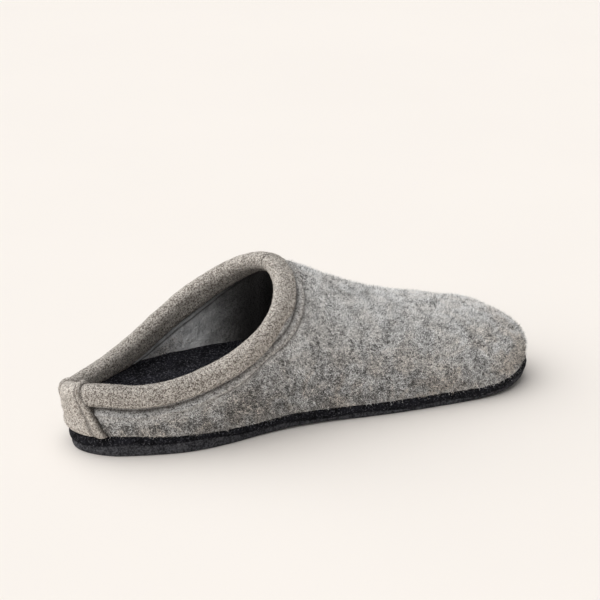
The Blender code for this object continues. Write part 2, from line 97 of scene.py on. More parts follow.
OutlineRow = namedtuple("OutlineRow", "along follows inner outer")
OUTLINE = (
    OutlineRow(0.04, HEEL_WIDTH, 0.265, 0.25),
    OutlineRow(0.12, HEEL_WIDTH, 0.412, 0.435),
    OutlineRow(0.22, HEEL_WIDTH, 0.5, 0.5),
    OutlineRow(0.34, HEEL_WIDTH, 0.49, 0.534),
    OutlineRow(0.46, BALL_WIDTH, 0.409, 0.41),
    OutlineRow(0.6, BALL_WIDTH, 0.494, 0.453),
    OutlineRow(0.74, BALL_WIDTH, 0.561, 0.437),
    OutlineRow(0.86, BALL_WIDTH, 0.589, 0.315),
    OutlineRow(0.95, BALL_WIDTH, 0.492, 0.13),
)

CollarRow = namedtuple("CollarRow", "along inner outer inner_rise outer_rise")
COLLAR = (
    CollarRow(0.08, 0.225, 0.2, 0.07, -0.04),
    CollarRow(0.24, 0.35, 0.315, 0.042, 0.0),
    CollarRow(0.47, 0.475, 0.44, 0.16, 0.16),
    CollarRow(0.69, 0.535, 0.51, 0.395, 0.41),
    CollarRow(0.87, 0.46, 0.43, 0.655, 0.686),
)

# Share of the way down the ridge, of the toe's swing sideways and of the height lost
RIDGE = (
    (0.0, 0.0, 0.0),
    (0.1, 0.05, 0.048),
    (0.25, 0.15, 0.163),
    (0.5, 0.4, 0.34),
    (0.75, 0.7, 0.457),
    (1.0, 0.95, 0.558),
)

# Place of a rib's foot, reaches of its curve at the top and the foot, and its swell
RIB_FORM = (
    (0.0, 0.35, 0.35, 0.05),
    (0.3, 0.35, 0.4, 0.05),
    (0.5, 0.5, 0.5, 0.1),
    (0.75, 0.55, 0.55, 0.12),
    (1.0, 0.45, 0.5, 0.1),
)

# Shares that shape the ribs and the sole
THROAT_FOOT = 0.5
FOOT_LEAD = 0.14
LAY_POWER = 4.0
FAN_START = 0.62
FAN_EASE = 0.15
ARCH_START = 0.28
ARCH_END = 0.58
SPRING_START = 0.74
WEDGE_RAMP = (0.45, 0.12)
THIN_BEHIND = (0.07, 0.15)
THIN_AHEAD = (0.42, 0.31)

# Drawing the toe back, to make room for its pile
TOE_DRAW = 0.0032
TOE_DRAW_START = 0.185


# Curves that the solids follow

def smooth_curve(places, values, flat_ends=False):
    """Return a curve through the values that bends as evenly as a thin batten."""
    x = np.array(places, dtype=float)
    y = np.array(values, dtype=float)
    last = len(x) - 1
    step = np.diff(x)
    slope = np.diff(y) / step
    system = np.eye(last + 1)
    right = np.zeros(last + 1)
    for k in range(1, last):
        system[k, k - 1:k + 2] = step[k - 1], 2 * (step[k - 1] + step[k]), step[k]
        right[k] = 6 * (slope[k] - slope[k - 1])
    if flat_ends:
        system[0, 0:2] = 2 * step[0], step[0]
        system[last, last - 1:] = step[-1], 2 * step[-1]
        right[0] = 6 * slope[0]
        right[last] = -6 * slope[-1]
    bend = np.linalg.solve(system, right)

    def at(place):
        k = int(np.clip(np.searchsorted(x, place) - 1, 0, last - 1))
        a = (x[k + 1] - place) / step[k]
        b = 1 - a
        curved = (a**3 - a) * bend[k] + (b**3 - b) * bend[k + 1]
        return float(a * y[k] + b * y[k + 1] + curved * step[k]**2 / 6)

    return at


def turn_of(along):
    return math.acos(1 - 2 * along) / math.pi


def along_of(turn):
    return (1 - math.cos(math.pi * turn)) / 2


def eased(share):
    share = np.clip(share, 0.0, 1.0)
    return share * share * (3 - 2 * share)


def ramp(value, start, full):
    """How far a value has come from start to full: 0 to 1, with soft ends."""
    return eased((value - start) / (full - start))


def side_curve(rows, sizes, end):
    turns = [0.0] + [turn_of(row.along) for row in rows] + [1.0]
    return smooth_curve(turns, [0.0] + sizes + [end])


def rise_curve(rows):
    turns = [turn_of(row.along) for row in rows]
    outer = [-1.0] + [-turn for turn in reversed(turns)]
    rises = [1.0] + [row.outer_rise for row in reversed(rows)]
    inner_rises = [row.inner_rise for row in rows] + [1.0]
    places = outer + [0.0] + turns + [1.0]
    return smooth_curve(places, rises + [0.0] + inner_rises, flat_ends=True)


def table_curves(rows):
    """A curve for each column of a table after its first, which holds the places."""
    places, *columns = zip(*rows)
    return [smooth_curve(places, values) for values in columns]


OUTLINE_INNER = side_curve(OUTLINE, [-row.inner * row.follows for row in OUTLINE], TOE_SWING)
OUTLINE_OUTER = side_curve(OUTLINE, [row.outer * row.follows for row in OUTLINE], TOE_SWING)
COLLAR_INNER = side_curve(COLLAR, [-row.inner * HEEL_WIDTH for row in COLLAR], 0.0)
COLLAR_OUTER = side_curve(COLLAR, [row.outer * HEEL_WIDTH for row in COLLAR], 0.0)
COLLAR_RISE = rise_curve(COLLAR)
RIDGE_SIDE, RIDGE_FALL = table_curves(RIDGE)
TOP_REACH, FOOT_REACH, SWELL = table_curves(RIB_FORM)


def sole_place():
    """Where the sole's heel end and middle line lie in the frame."""
    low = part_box("midsole")[0]
    widest = min(OUTLINE_INNER(k / SOLE_STEPS) for k in range(SOLE_STEPS))
    return Vector((low[0], low[1] - widest, 0.0))


PLACE = sole_place()


def floor_lift(x):
    along = x / SOLE_LENGTH
    waist = min(max((along - ARCH_START) / (ARCH_END - ARCH_START), 0.0), 1.0)
    toe = max((along - SPRING_START) / (1 - SPRING_START), 0.0)
    return ARCH_LIFT * math.sin(math.pi * waist)**2 + TOE_SPRING * toe * toe


def outsole_top(x):
    wedge = ramp(x / SOLE_LENGTH, *WEDGE_RAMP)
    return floor_lift(x) + OUTSOLE_THICKNESS + HEEL_WEDGE * wedge


def sole_top(x):
    along = x / SOLE_LENGTH
    waist = min(ramp(along, *THIN_BEHIND), ramp(along, *THIN_AHEAD))
    thinner = (MIDSOLE_THICKNESS - MIDSOLE_WAIST_THICKNESS) * waist
    return outsole_top(x) + CLEARANCE + MIDSOLE_THICKNESS - thinner


def feather_height(x):
    return sole_top(x) + CLEARANCE


def footbed_top(x):
    drop = (FOOTBED_HEEL_HEIGHT - FOOTBED_TOE_HEIGHT) * ramp(x, 0.0, SOLE_LENGTH)
    return floor_lift(x) + FOOTBED_HEEL_HEIGHT - drop


def toe_draw(x):
    """How far a place near the toe is drawn back, so that the pile ends at the solid's toe."""
    return TOE_DRAW * ramp(x, TOE_DRAW_START, SOLE_LENGTH)


def outline_normal(turn, side):
    curve = OUTLINE_INNER if side < 0 else OUTLINE_OUTER
    if turn <= 0.0:
        return Vector((-1.0, 0.0))
    if turn >= 1.0:
        return Vector((1.0, 0.0))
    low = max(turn - NORMAL_REACH, 0.0)
    high = min(turn + NORMAL_REACH, 1.0)
    run = Vector((SOLE_LENGTH * (along_of(high) - along_of(low)), curve(high) - curve(low)))
    return (Vector((-run.y, run.x)) * side).normalized()


def outline_point(turn, side, set_in=0.0):
    curve = OUTLINE_INNER if side < 0 else OUTLINE_OUTER
    point = Vector((SOLE_LENGTH * along_of(turn), curve(turn)))
    return point - outline_normal(turn, side) * set_in


def collar_point(turn, side):
    curve = COLLAR_INNER if side < 0 else COLLAR_OUTER
    length = THROAT_PLACE + COLLAR_SETBACK
    height = HEEL_HEIGHT + (INSTEP_HEIGHT - HEEL_HEIGHT) * COLLAR_RISE(-side * turn)
    return Vector((length * along_of(turn) - COLLAR_SETBACK, curve(turn), height))


def ridge_point(share):
    x = THROAT_PLACE + (CROWN_PLACE - THROAT_PLACE) * share
    drop = (INSTEP_HEIGHT - feather_height(x)) * RIDGE_FALL(share)
    return Vector((x, TOE_SWING * RIDGE_SIDE(share), INSTEP_HEIGHT - drop))


def ridge_slope(share):
    low = ridge_point(max(share - SLOPE_REACH, 0.0))
    high = ridge_point(min(share + SLOPE_REACH, 1.0))
    return (high.z - low.z) / (high.x - low.x)


def eased_stop(share):
    start = FAN_START - FAN_EASE
    if share <= start:
        return share / FAN_START
    rest = min((share - start) / (2 * FAN_EASE), 1.0)
    return (start + 2 * FAN_EASE * (rest - rest * rest / 2)) / FAN_START


def rib_ends(rib, side):
    if rib <= COLLAR_RIBS:
        turn = rib / COLLAR_RIBS
        top = collar_point(turn, side)
        foot_turn = THROAT_FOOT * turn + FOOT_LEAD * turn * (1 - turn)
        lay = math.pi / 2 * turn**LAY_POWER
        slope = ridge_slope(0.0)
    else:
        share = (rib - COLLAR_RIBS) / VAMP_RIBS
        turn = 1.0
        ridge = eased_stop(share)
        top = ridge_point(ridge)
        foot_turn = THROAT_FOOT + (1 - THROAT_FOOT) * share
        lay = math.pi / 2
        slope = ridge_slope(ridge)
    plan = outline_point(foot_turn, side, FELT_SET_IN)
    foot = Vector((plan.x, plan.y, feather_height(plan.x)))
    outward = outline_normal(foot_turn, side)
    across = (plan - top.xy).normalized()
    heading = (outward * (1 - turn) + across * turn).normalized()
    return top, foot, outward, heading, lay, slope, foot_turn


def rib_curve(rib, side):
    top, foot, outward, heading, lay, slope, place = rib_ends(rib, side)
    drop = top.z - foot.z
    width = (foot.xy - top.xy).length
    first = Vector((heading.x, heading.y, slope * heading.x)) * math.sin(lay)
    first.z -= math.cos(lay)
    first *= TOP_REACH(place) * (width * math.sin(lay) + drop * math.cos(lay))
    lean = SWELL(place)
    last = Vector((outward.x * lean, outward.y * lean, 1.0)) * FOOT_REACH(place) * drop
    b = np.linspace(0.0, 1.0, RIB_SAMPLES + 1)[:, None]
    a = 1 - b
    top, foot, first, last = (np.array(v) for v in (top, foot, first, last))
    return a**3 * top + 3 * a * a * b * (top + first) + 3 * a * b * b * (foot + last) + b**3 * foot


def run_along(points):
    steps = np.linalg.norm(np.diff(points, axis=0), axis=1)
    return np.concatenate(([0.0], steps.cumsum()))


def even_rows(points):
    """Rows down a rib: some under the binding, and then evenly to the sole."""
    run = run_along(points)
    rows = np.concatenate((
        BINDING_WIDTH * np.arange(BINDING_ROWS) / BINDING_ROWS,
        np.linspace(BINDING_WIDTH, run[-1], LOWER_ROWS + 1),
    ))
    return np.stack([np.interp(rows, run, points[:, axis]) for axis in range(3)], axis=1)


def unit(vectors):
    lengths = np.linalg.norm(vectors, axis=-1, keepdims=True)
    return vectors / np.maximum(lengths, SHORTEST)


# Unevenness: how deep it is and how large its lumps are, in metres, and its seed
Rough = namedtuple("Rough", "depth size seed")


def rough_at(points, rough):
    """Smooth unevenness at each point, between minus and plus its depth."""
    shift = Vector([step * rough.seed for step in SEED_SHIFT])
    values = [noise.noise(Vector(point) / rough.size + shift) for point in points]
    return rough.depth * np.array(values)


class Skin:
    """The upper's outer skin as a dense net of ribs, with normals and an inner skin."""

    def __init__(self):
        last = COLLAR_RIBS + VAMP_RIBS
        inner = [even_rows(rib_curve(rib, -1)) for rib in range(last + 1)]
        outer = [even_rows(rib_curve(rib, 1)) for rib in range(last - 1, 0, -1)]
        ribs = np.array(inner + outer)
        self.count, self.rows = ribs.shape[:2]
        keys = np.round(ribs.reshape(-1, 3), POINT_DIGITS)
        _, first, self.index = np.unique(keys, axis=0, return_index=True, return_inverse=True)
        self.points = ribs.reshape(-1, 3)[first]
        self.points[:, 0] -= toe_draw(self.points[:, 0])
        self.index = self.index.reshape(self.count, self.rows)
        self.faces = self.net_faces()
        self.normals = self.point_normals()
        self.inside = self.inner_points()
        self.tree = BVHTree.FromPolygons(self.points.tolist(), self.faces)

    def net_faces(self):
        here = self.index
        after = np.roll(self.index, -1, axis=0)
        quads = np.stack((here[:, :-1], here[:, 1:], after[:, 1:], after[:, :-1]), axis=-1)
        return [tuple(dict.fromkeys(quad)) for quad in quads.reshape(-1, 4).tolist()]

    def inner_faces(self):
        """Faces of the inner skin, whose points follow all those of the outer skin."""
        total = len(self.points)
        return [tuple(total + k for k in reversed(face)) for face in self.faces]

    def point_normals(self):
        total = np.zeros_like(self.points)
        for face in self.faces:
            a, b, c, d = (self.points[face[k]] for k in (0, 1, -1, -2))
            normal = np.cross(b - a, c - a) + np.cross(d - b, c - b)
            total[list(face)] += normal
        return unit(total)

    def inner_points(self):
        inside = self.points - self.normals * FELT_WALL
        foot = np.unique(self.index[:, -1])
        flat = self.normals[foot] * (1.0, 1.0, 0.0)
        inside[foot] = self.points[foot] - unit(flat) * FELT_WALL
        for k in foot:
            inside[k, 2] = feather_height(inside[k, 0])
        return inside

    def inside_at(self, rib, height):
        """Where the inner skin of one rib passes a height, given as a function of x."""
        column = self.inside[self.index[rib][::-1]]
        above = np.array([point[2] - height(point[0]) for point in column])
        passed = int(np.argmax(above >= 0))
        if passed == 0:
            return column[0]
        share = above[passed - 1] / (above[passed - 1] - above[passed])
        return column[passed - 1] * (1 - share) + column[passed] * share

    def near(self, place):
        """The skin's nearest point and its outward direction there."""
        point, _, face, _ = self.tree.find_nearest(Vector(place))
        corners = list(self.faces[face])
        away = np.linalg.norm(self.points[corners] - np.array(point), axis=1)
        normal = (self.normals[corners] / (away + CLEARANCE)[:, None]).sum(axis=0)
        return np.array(point), unit(normal)

    def at(self, rib, row, offset):
        """Point on the skin pushed out by offset; rib and row may lie between two lines."""
        low_rib = math.floor(rib)
        low_row = min(math.floor(row), self.rows - 2)
        across = rib - low_rib
        down = row - low_row
        point = np.zeros(3)
        normal = np.zeros(3)
        for step, share in ((0, 1 - across), (1, across)):
            column = self.index[(low_rib + step) % self.count]
            for drop, part in ((0, 1 - down), (1, down)):
                point += self.points[column[low_row + drop]] * share * part
                normal += self.normals[column[low_row + drop]] * share * part
        return point + unit(normal) * offset


# Making meshes

def add_object(name, data):
    item = bpy.data.objects.new(name, data)
    bpy.context.scene.collection.objects.link(item)
    return item


def show_piece(name, mesh, material, nodes=()):
    """Show a mesh that rides on the slipper and stands for the named solids."""
    mesh.shade_smooth()
    mesh.materials.append(material)
    piece = add_object(name, mesh)
    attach(piece, "root")
    if nodes:
        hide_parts(*nodes)
    return piece


def make_piece(name, points, faces, material, nodes):
    """Show points and faces that are given where the solids were drawn."""
    mesh = bpy.data.meshes.new(name)
    mesh.from_pydata((np.asarray(points) + np.array(PLACE)).tolist(), [], faces)
    return show_piece(name, mesh, material, nodes)


def add_tone(piece, values, name="tone"):
    """Store one number for each point of the mesh, which its material reads."""
    store = piece.data.attributes.new(name, "FLOAT", "POINT")
    store.data.foreach_set("value", np.asarray(values, dtype=np.float32))


def grid_faces(rows, columns, first=0, flip=False):
    faces = []
    for row in range(rows - 1):
        for column in range(columns - 1):
            corner = first + row * columns + column
            face = (corner, corner + 1, corner + columns + 1, corner + columns)
            faces.append(face[::-1] if flip else face)
    return faces


def shell_faces(rows, columns):
    """Faces of a closed sheet: a grid, its copy on the other side, and the rim between."""
    size = rows * columns
    faces = grid_faces(rows, columns) + grid_faces(rows, columns, size, flip=True)
    rim = list(range(columns))
    rim += [row * columns + columns - 1 for row in range(1, rows)]
    rim += [(rows - 1) * columns + k for k in range(columns - 2, -1, -1)]
    rim += [row * columns for row in range(rows - 2, 0, -1)]
    for k, corner in enumerate(rim):
        after = rim[(k + 1) % len(rim)]
        faces.append((after, corner, size + corner, size + after))
    return faces


def band_faces(rings, size, closed):
    """Faces between closed rings of points; closed also joins the last ring to the first."""
    faces = []
    for ring in range(rings if closed else rings - 1):
        here = ring * size
        there = (ring + 1) % rings * size
        for k in range(size):
            after = (k + 1) % size
            faces.append((here + k, here + after, there + after, there + k))
    return faces


# Ridge or stripe with soft flanks: its height or strength, the place of its middle, its width
Ridge = namedtuple("Ridge", "height place width")


def raised(distance, ridge):
    return ridge.height * np.exp(-((np.asarray(distance) - ridge.place) / ridge.width)**2)


# Fine forms of the felt upper. All lengths are metres.
FELT_LUMP = Rough(0.0007, 0.019, 1)
FELT_CLUMP = Rough(0.00045, 0.008, 8)
FELT_RIPPLE = Rough(0.00025, 0.0035, 2)
LINING_CLUMP = Rough(0.00045, 0.008, 3)
PILE_FACING = 1.6
PILE_RAMP = (-0.01, 0.04)
VAMP_PILE = 0.0006
TOE_PILE = 0.0028
TOE_TRIM = 0.0018
INNER_TRIM_SHARE = 0.5
TOE_PILE_RAMP = (0.06, 0.105)
SEAM_RIDGE = Ridge(0.0014, 0.0112, 0.0012)
SEAM_GROOVE = Ridge(0.0007, 0.0083, 0.0009)
INNER_RIDGE = Ridge(0.0007, 0.0118, 0.0008)
# Painted shade in the seam groove and either side of the inner ridge, with a dark stitch line
GROOVE_SHADE = Ridge(1.0, 0.0083, 0.0009)
STITCH_SHADE = Ridge(0.85, 0.0131, 0.0006)
HEM_SHADE = Ridge(0.85, 0.0112, 0.0017)
INNER_SHADES = (Ridge(1.0, 0.0103, 0.0006), Ridge(1.0, 0.0133, 0.0006))
NAP_START = 0.0135
NAP_FADE = 0.004
FOOT_BARE = 0.85
LINING_FADE = (0.06, 0.09)
HEM_RAMP = (0.035, 0.085)
# Painted shade: the inner wall darkens from here towards the throat and the toe
THROAT_SHADE_RAMP = (0.085, 0.125)
FOOT_ROLL_HEIGHT = 0.0055
FOOT_ROLL = 0.0009
FOOT_TUCK_HEIGHT = 0.0012
FOOT_TUCK = 0.0006
FOOT_HANG = 0.0005
TOE_HANG = 0.002
TOE_HANG_OUT = 0.001


def on_collar(skin, rib):
    return rib <= COLLAR_RIBS or rib >= skin.count - COLLAR_RIBS


def distance_to_collar(skin):
    tree = KDTree(skin.count)
    for rib in range(skin.count):
        if on_collar(skin, rib):
            tree.insert(Vector(skin.points[skin.index[rib][0]]), rib)
    tree.balance()
    return np.array([tree.find(Vector(point))[2] for point in skin.points])


def height_up_rib(skin):
    """For each point of the skin, its distance up its rib from the sole."""
    rise = np.zeros(len(skin.points))
    for column in skin.index:
        run = run_along(skin.points[column])
        rise[column] = run[-1] - run
    return rise


def toe_share(skin):
    """How far each point of the skin belongs to the toe, from 0 to 1."""
    return ramp(skin.points[:, 0] + PLACE.x, *TOE_PILE_RAMP)


def pile_depth(skin, toe):
    """Thickness of the loose pile on the vamp's upward faces, deepest over the toe."""
    facing = np.clip(skin.normals[:, 2] * PILE_FACING, 0.0, 1.0)
    ahead = ramp(skin.points[:, 0] + PLACE.x, *PILE_RAMP)
    return facing * (VAMP_PILE * ahead + (TOE_PILE - VAMP_PILE) * toe)


def toe_trim(skin, toe):
    """How far the toe's front is drawn in, so that the pile ends where the photograph's does."""
    return TOE_TRIM * np.clip(skin.normals[:, 0], 0.0, 1.0) * toe


def outer_felt(skin, from_collar, rise, toe):
    """The felt's outer points, with its lumps, pile, seam ridge and rolled foot."""
    free = np.clip(rise / FOOT_ROLL_HEIGHT, 0.0, 1.0)
    edge = (1 - free)**2
    tuck = (1 - np.clip(rise / FOOT_TUCK_HEIGHT, 0.0, 1.0))**2
    out = (rough_at(skin.points, FELT_LUMP) + rough_at(skin.points, FELT_CLUMP)) * free
    out += rough_at(skin.points, FELT_RIPPLE)
    out += pile_depth(skin, toe) - toe_trim(skin, toe)
    out += raised(from_collar, SEAM_RIDGE) - raised(from_collar, SEAM_GROOVE)
    out += FOOT_ROLL * np.sin(np.pi * np.clip(rise / (2 * FOOT_ROLL_HEIGHT), 0.0, 1.0))
    out += TOE_HANG_OUT * toe * edge - FOOT_TUCK * tuck * (1 - toe)
    points = skin.points + skin.normals * out[:, None]
    points[:, 2] -= (FOOT_HANG + (TOE_HANG - FOOT_HANG) * toe) * edge
    return points


def inner_felt(skin, from_collar, toe):
    """The felt's inner points, with their lumps and the ridge by the binding's inner edge."""
    inward = rough_at(skin.inside, LINING_CLUMP) + raised(from_collar, INNER_RIDGE)
    depth = np.abs(inward) + toe_trim(skin, toe) * INNER_TRIM_SHARE
    return skin.inside - skin.normals * depth[:, None]


def felt_faces(skin):
    """Faces of both sides of the felt, and of its rims at the collar and the sole."""
    total = len(skin.points)
    faces = skin.faces + skin.inner_faces()
    for k in range(skin.count):
        after = (k + 1) % skin.count
        low, next_low = int(skin.index[k][-1]), int(skin.index[after][-1])
        faces.append((low, next_low, total + next_low, total + low))
        if on_collar(skin, k) and on_collar(skin, after):
            top, next_top = int(skin.index[k][0]), int(skin.index[after][0])
            faces.append((next_top, top, total + top, total + next_top))
    return faces


def make_upper(skin, material):
    """The felt upper, with the shares that its material and its nap read."""
    from_collar = distance_to_collar(skin)
    rise = height_up_rib(skin)
    toe = toe_share(skin)
    outer = outer_felt(skin, from_collar, rise, toe)
    points = np.vstack((outer, inner_felt(skin, from_collar, toe)))
    piece = make_piece("felt_upper", points, felt_faces(skin), material, ["upper"])
    none = np.zeros(len(skin.points))
    ahead = ramp(skin.points[:, 0], *HEM_RAMP)
    # painted shade in the seam groove and either side of the inner ridge, with the dark stitch
    # line towards the throat
    seam = raised(from_collar, GROOVE_SHADE) + raised(from_collar, STITCH_SHADE) * ahead
    inner_seam_shade = sum(raised(from_collar, shade) for shade in INNER_SHADES)
    bare = 1 - eased((from_collar - NAP_START) / NAP_FADE)
    foot = FOOT_BARE * (1 - np.clip(rise / FOOT_ROLL_HEIGHT, 0.0, 1.0))
    # painted light on the inner wall towards the heel (lit) and painted shade under the throat and
    # in the toe (deep)
    deep = ramp(skin.inside[:, 0], *THROAT_SHADE_RAMP)
    plain = ramp(skin.inside[:, 0], *LINING_FADE)
    tones = {
        "seam": (seam, inner_seam_shade),
        "bare": (np.maximum(bare, foot), np.maximum(bare, plain)),
        "hem": (raised(from_collar, HEM_SHADE) * ahead, none),
        "lit": (none, 1 - deep),
        "deep": (none, deep),
    }
    for name, sides in tones.items():
        add_tone(piece, np.concatenate(sides), name)
    return piece


# Fine forms of the knitted binding
BINDING_BODY = 0.0029
BINDING_EDGE = 0.0011
BINDING_EDGE_SHARE = 0.1
BINDING_EDGE_POWER = 0.3
BINDING_LUMP = Rough(0.0003, 0.009, 4)
BINDING_PUCKER = Rough(0.00014, 0.0032, 5)
# Painted shade at the binding's lower outer edge, where it meets the felt
BINDING_SHADE = Ridge(1.0, 0.0, 0.025)
UNDER_TAB = 0.75
UNDER_TAB_RAMP = (0.7, 1.2)


def room_inside(edge, outward):
    lean = (FELT_WALL + BINDING_BODY) * max(outward[2], 0.0)
    return min(edge[2] - lean - footbed_top(edge[0]) - 3 * CLEARANCE, BINDING_INNER_WIDTH)


def roll(edge, outward, up, radius):
    """Points round the felt's top edge, from its outer to its inner skin."""
    middle = edge - outward * FELT_WALL / 2
    turns = [math.pi * k / ROLL_STEPS for k in range(1, ROLL_STEPS)]
    return [middle + (outward * math.cos(t) + up * math.sin(t)) * r for t, r in zip(turns, radius)]


def collar_stations(skin):
    """Edge point, outward direction and upward direction at each rib of the collar."""
    ribs = [rib for rib in range(skin.count) if on_collar(skin, rib)]
    corners = [int(skin.index[rib][0]) for rib in ribs]
    stations = []
    for k, corner in enumerate(corners):
        edge = skin.points[corner]
        outward = skin.normals[corner]
        along = skin.points[corners[(k + 1) % len(corners)]] - skin.points[corners[k - 1]]
        up = unit(np.cross(along, outward))
        if np.dot(skin.near(edge + up * BINDING_WIDTH)[0] - edge, up) > 0:
            up = -up
        stations.append((edge, outward, up))
    return stations


def binding_path(skin, station, thickness):
    """Points up the outside, round the edge and down inside, at a thickness given per point."""
    edge, outward, up = station
    reach = room_inside(edge, outward)
    rows = BINDING_ROWS + 1
    points = []
    for k in range(rows):
        place, normal = skin.near(edge - up * BINDING_WIDTH * (1 - k / BINDING_ROWS))
        points.append(place + normal * thickness[k])
    radius = [FELT_WALL / 2 + t for t in thickness[rows:rows + ROLL_STEPS - 1]]
    points += roll(edge, outward, up, radius)
    for k in range(rows):
        place, normal = skin.near(edge - up * reach * k / BINDING_ROWS)
        points.append(place - normal * (FELT_WALL + thickness[rows + ROLL_STEPS - 1 + k]))
    return points


def past_edges(count):
    """How far each point across the binding is past its rounded edges, from 0 to 1."""
    shares = np.linspace(0.0, 1.0, count)
    return np.clip(np.minimum(shares, 1 - shares) / BINDING_EDGE_SHARE, 0.0, 1.0)


def binding_thickness():
    """Thickness across the binding's width: rounded edges and an even body."""
    past = past_edges(2 * (BINDING_ROWS + 1) + ROLL_STEPS - 1)
    rounded = np.sqrt(1 - (1 - past)**2)
    return BINDING_EDGE * past**BINDING_EDGE_POWER + (BINDING_BODY - BINDING_EDGE) * rounded


def pressed(edge):
    """The share of its thickness that the binding keeps, which is less under the tab."""
    if edge[0] >= HEEL_WIDTH / 4:
        return 1.0
    aside = abs(edge[1]) / (TAB_TOP_WIDTH / 2)
    return UNDER_TAB + (1 - UNDER_TAB) * ramp(aside, *UNDER_TAB_RAMP)


def make_binding(skin, material):
    """The knitted strip: a ring of points round its width at each rib of the collar."""
    body = binding_thickness()
    count = len(body)
    under = np.full(count, -CLEARANCE)
    stations = collar_stations(skin)
    outer = np.array([binding_path(skin, at, body * pressed(at[0])) for at in stations])
    inner = np.array([binding_path(skin, at, under) for at in stations])
    flat = outer.reshape(-1, 3)
    lump = rough_at(flat, BINDING_LUMP) + rough_at(flat, BINDING_PUCKER)
    lump = lump.reshape(outer.shape[:2]) * past_edges(count)
    outer = outer + unit(outer - inner) * lump[..., None]
    rings = np.concatenate((outer, inner[:, ::-1]), axis=1)
    total, size = rings.shape[:2]
    piece = make_piece(
        "knit_binding", rings.reshape(-1, 3), band_faces(total, size, closed=True),
        material, ["collar_binding"],
    )
    # painted shade under the binding's lower outer edge, where it meets the felt
    shade = raised(np.linspace(0.0, 1.0, count), BINDING_SHADE)
    add_tone(piece, np.tile(np.concatenate((shade, np.ones(count))), total), "seam")
    return piece


# Fine forms of the heel tab
TAB_ROWS = 64
TAB_RIBS = 34
TAB_THICKNESS = 0.0014
TAB_HEM = Ridge(0.0012, 0.88, 0.07)
TAB_STITCH = Ridge(0.0006, 0.76, 0.035)
TAB_EDGE_SHARE = 0.06
TAB_STEP = 0.012
TAB_FOOT_BULGE = 0.002
TAB_BULGE_PLACE = 0.85
TAB_BULGE_REACH = 0.3
TAB_SHORTER_INSIDE = 0.0006
TAB_THIN_END = 0.6
TAB_LUMP = Rough(0.00021, 0.009, 6)
# Painted shade in the tab's stitched groove and at its rims
TAB_SHADES = (Ridge(1.0, 0.76, 0.045), Ridge(1.0, 1.0, 0.03))


def tab_lift(share):
    """The tab's thickness across its width: a raised hem, a stitched groove and thin edges."""
    aside = abs(share)
    lift = TAB_THICKNESS + raised(aside, TAB_HEM) - raised(aside, TAB_STITCH)
    return lift * min((1 - aside) / TAB_EDGE_SHARE, 1.0)**0.5


def tab_rows(skin):
    """Rows up the heel: each with its length from the rim, and its ribs in sideways order."""
    near_ribs = np.arange(-TAB_RIBS, TAB_RIBS + 1)
    rim = skin.at(0, 0, 0.0)
    rows = []
    for row in np.linspace(skin.rows - 1, 0, TAB_ROWS):
        sideways = np.array([skin.at(int(rib), row, 0.0)[1] for rib in near_ribs])
        order = np.argsort(sideways)
        length = np.linalg.norm(skin.at(0, row, 0.0) - rim)
        rows.append((row, length, sideways[order], near_ribs[order]))
    return rows


def tab_line(skin, rows, share):
    """Points of the tab's shown face and its under face, at one place across its width."""
    over_binding = BINDING_BODY * UNDER_TAB
    lift = tab_lift(share)
    line = []
    under = []
    for row, length, sideways, ribs in rows:
        down = length / rows[0][1]
        half = (TAB_TOP_WIDTH + (TAB_FOOT_WIDTH - TAB_TOP_WIDTH) * down) / 2
        rib = float(np.interp(share * half, sideways, ribs))
        gap = over_binding * (1 - eased((length - BINDING_WIDTH) / TAB_STEP))
        foot = TAB_FOOT_BULGE * eased(1 - abs(down - TAB_BULGE_PLACE) / TAB_BULGE_REACH)
        line.append(skin.at(rib, row, gap + lift + foot))
        under.append(skin.at(rib, row, -CLEARANCE))
    edge = skin.at(rib, 0, 0.0)
    outward = unit(skin.at(rib, 0, 1.0) - edge)
    along = skin.at(rib + 0.5, 0, 0.0) - skin.at(rib - 0.5, 0, 0.0)
    up = unit(np.cross(outward, along))
    line += roll(edge, outward, up, [FELT_WALL / 2 + over_binding + lift] * ROLL_STEPS)
    under += roll(edge, outward, up, [FELT_WALL / 2] * ROLL_STEPS)
    reach = room_inside(edge, outward) - TAB_SHORTER_INSIDE
    for k in range(BINDING_ROWS + 1):
        place, normal = skin.near(edge - up * reach * k / BINDING_ROWS)
        thin = 1.0 if k < BINDING_ROWS else TAB_THIN_END
        line.append(place - normal * (FELT_WALL + (over_binding + lift) * thin))
        under.append(place - normal * FELT_WALL)
    return line, under


def make_tab(skin, material):
    """The tab at the heel: up the back, over the binding and down inside."""
    rows = tab_rows(skin)
    shares = np.linspace(-1.0, 1.0, TAB_COLUMNS + 1)
    sides = np.array([tab_line(skin, rows, share) for share in shares])
    top, under = (sides[:, side].reshape(-1, 3) for side in range(2))
    top = top + unit(top - under) * rough_at(top, TAB_LUMP)[:, None]
    columns, count = len(shares), sides.shape[2]
    piece = make_piece(
        "knit_tab", np.vstack((top, under)), shell_faces(columns, count),
        material, ["heel_tab"],
    )
    # painted shade in the stitched groove and at the rims
    groove = sum(raised(np.abs(shares), shade) for shade in TAB_SHADES)
    shade = np.concatenate((np.repeat(groove, count), np.ones(columns * count)))
    add_tone(piece, shade, "seam")
    return piece


# Fine forms of the footbed
FOOTBED_CUP = 0.0024
FOOTBED_CUP_POWER = 5
FOOTBED_CUP_START = 0.2
FOOTBED_LUMP = Rough(0.0005, 0.012, 7)
FOOTBED_SKIRT = 0.004
FOOTBED_HOLLOW = Ridge(0.0012, 0.045, 0.03)


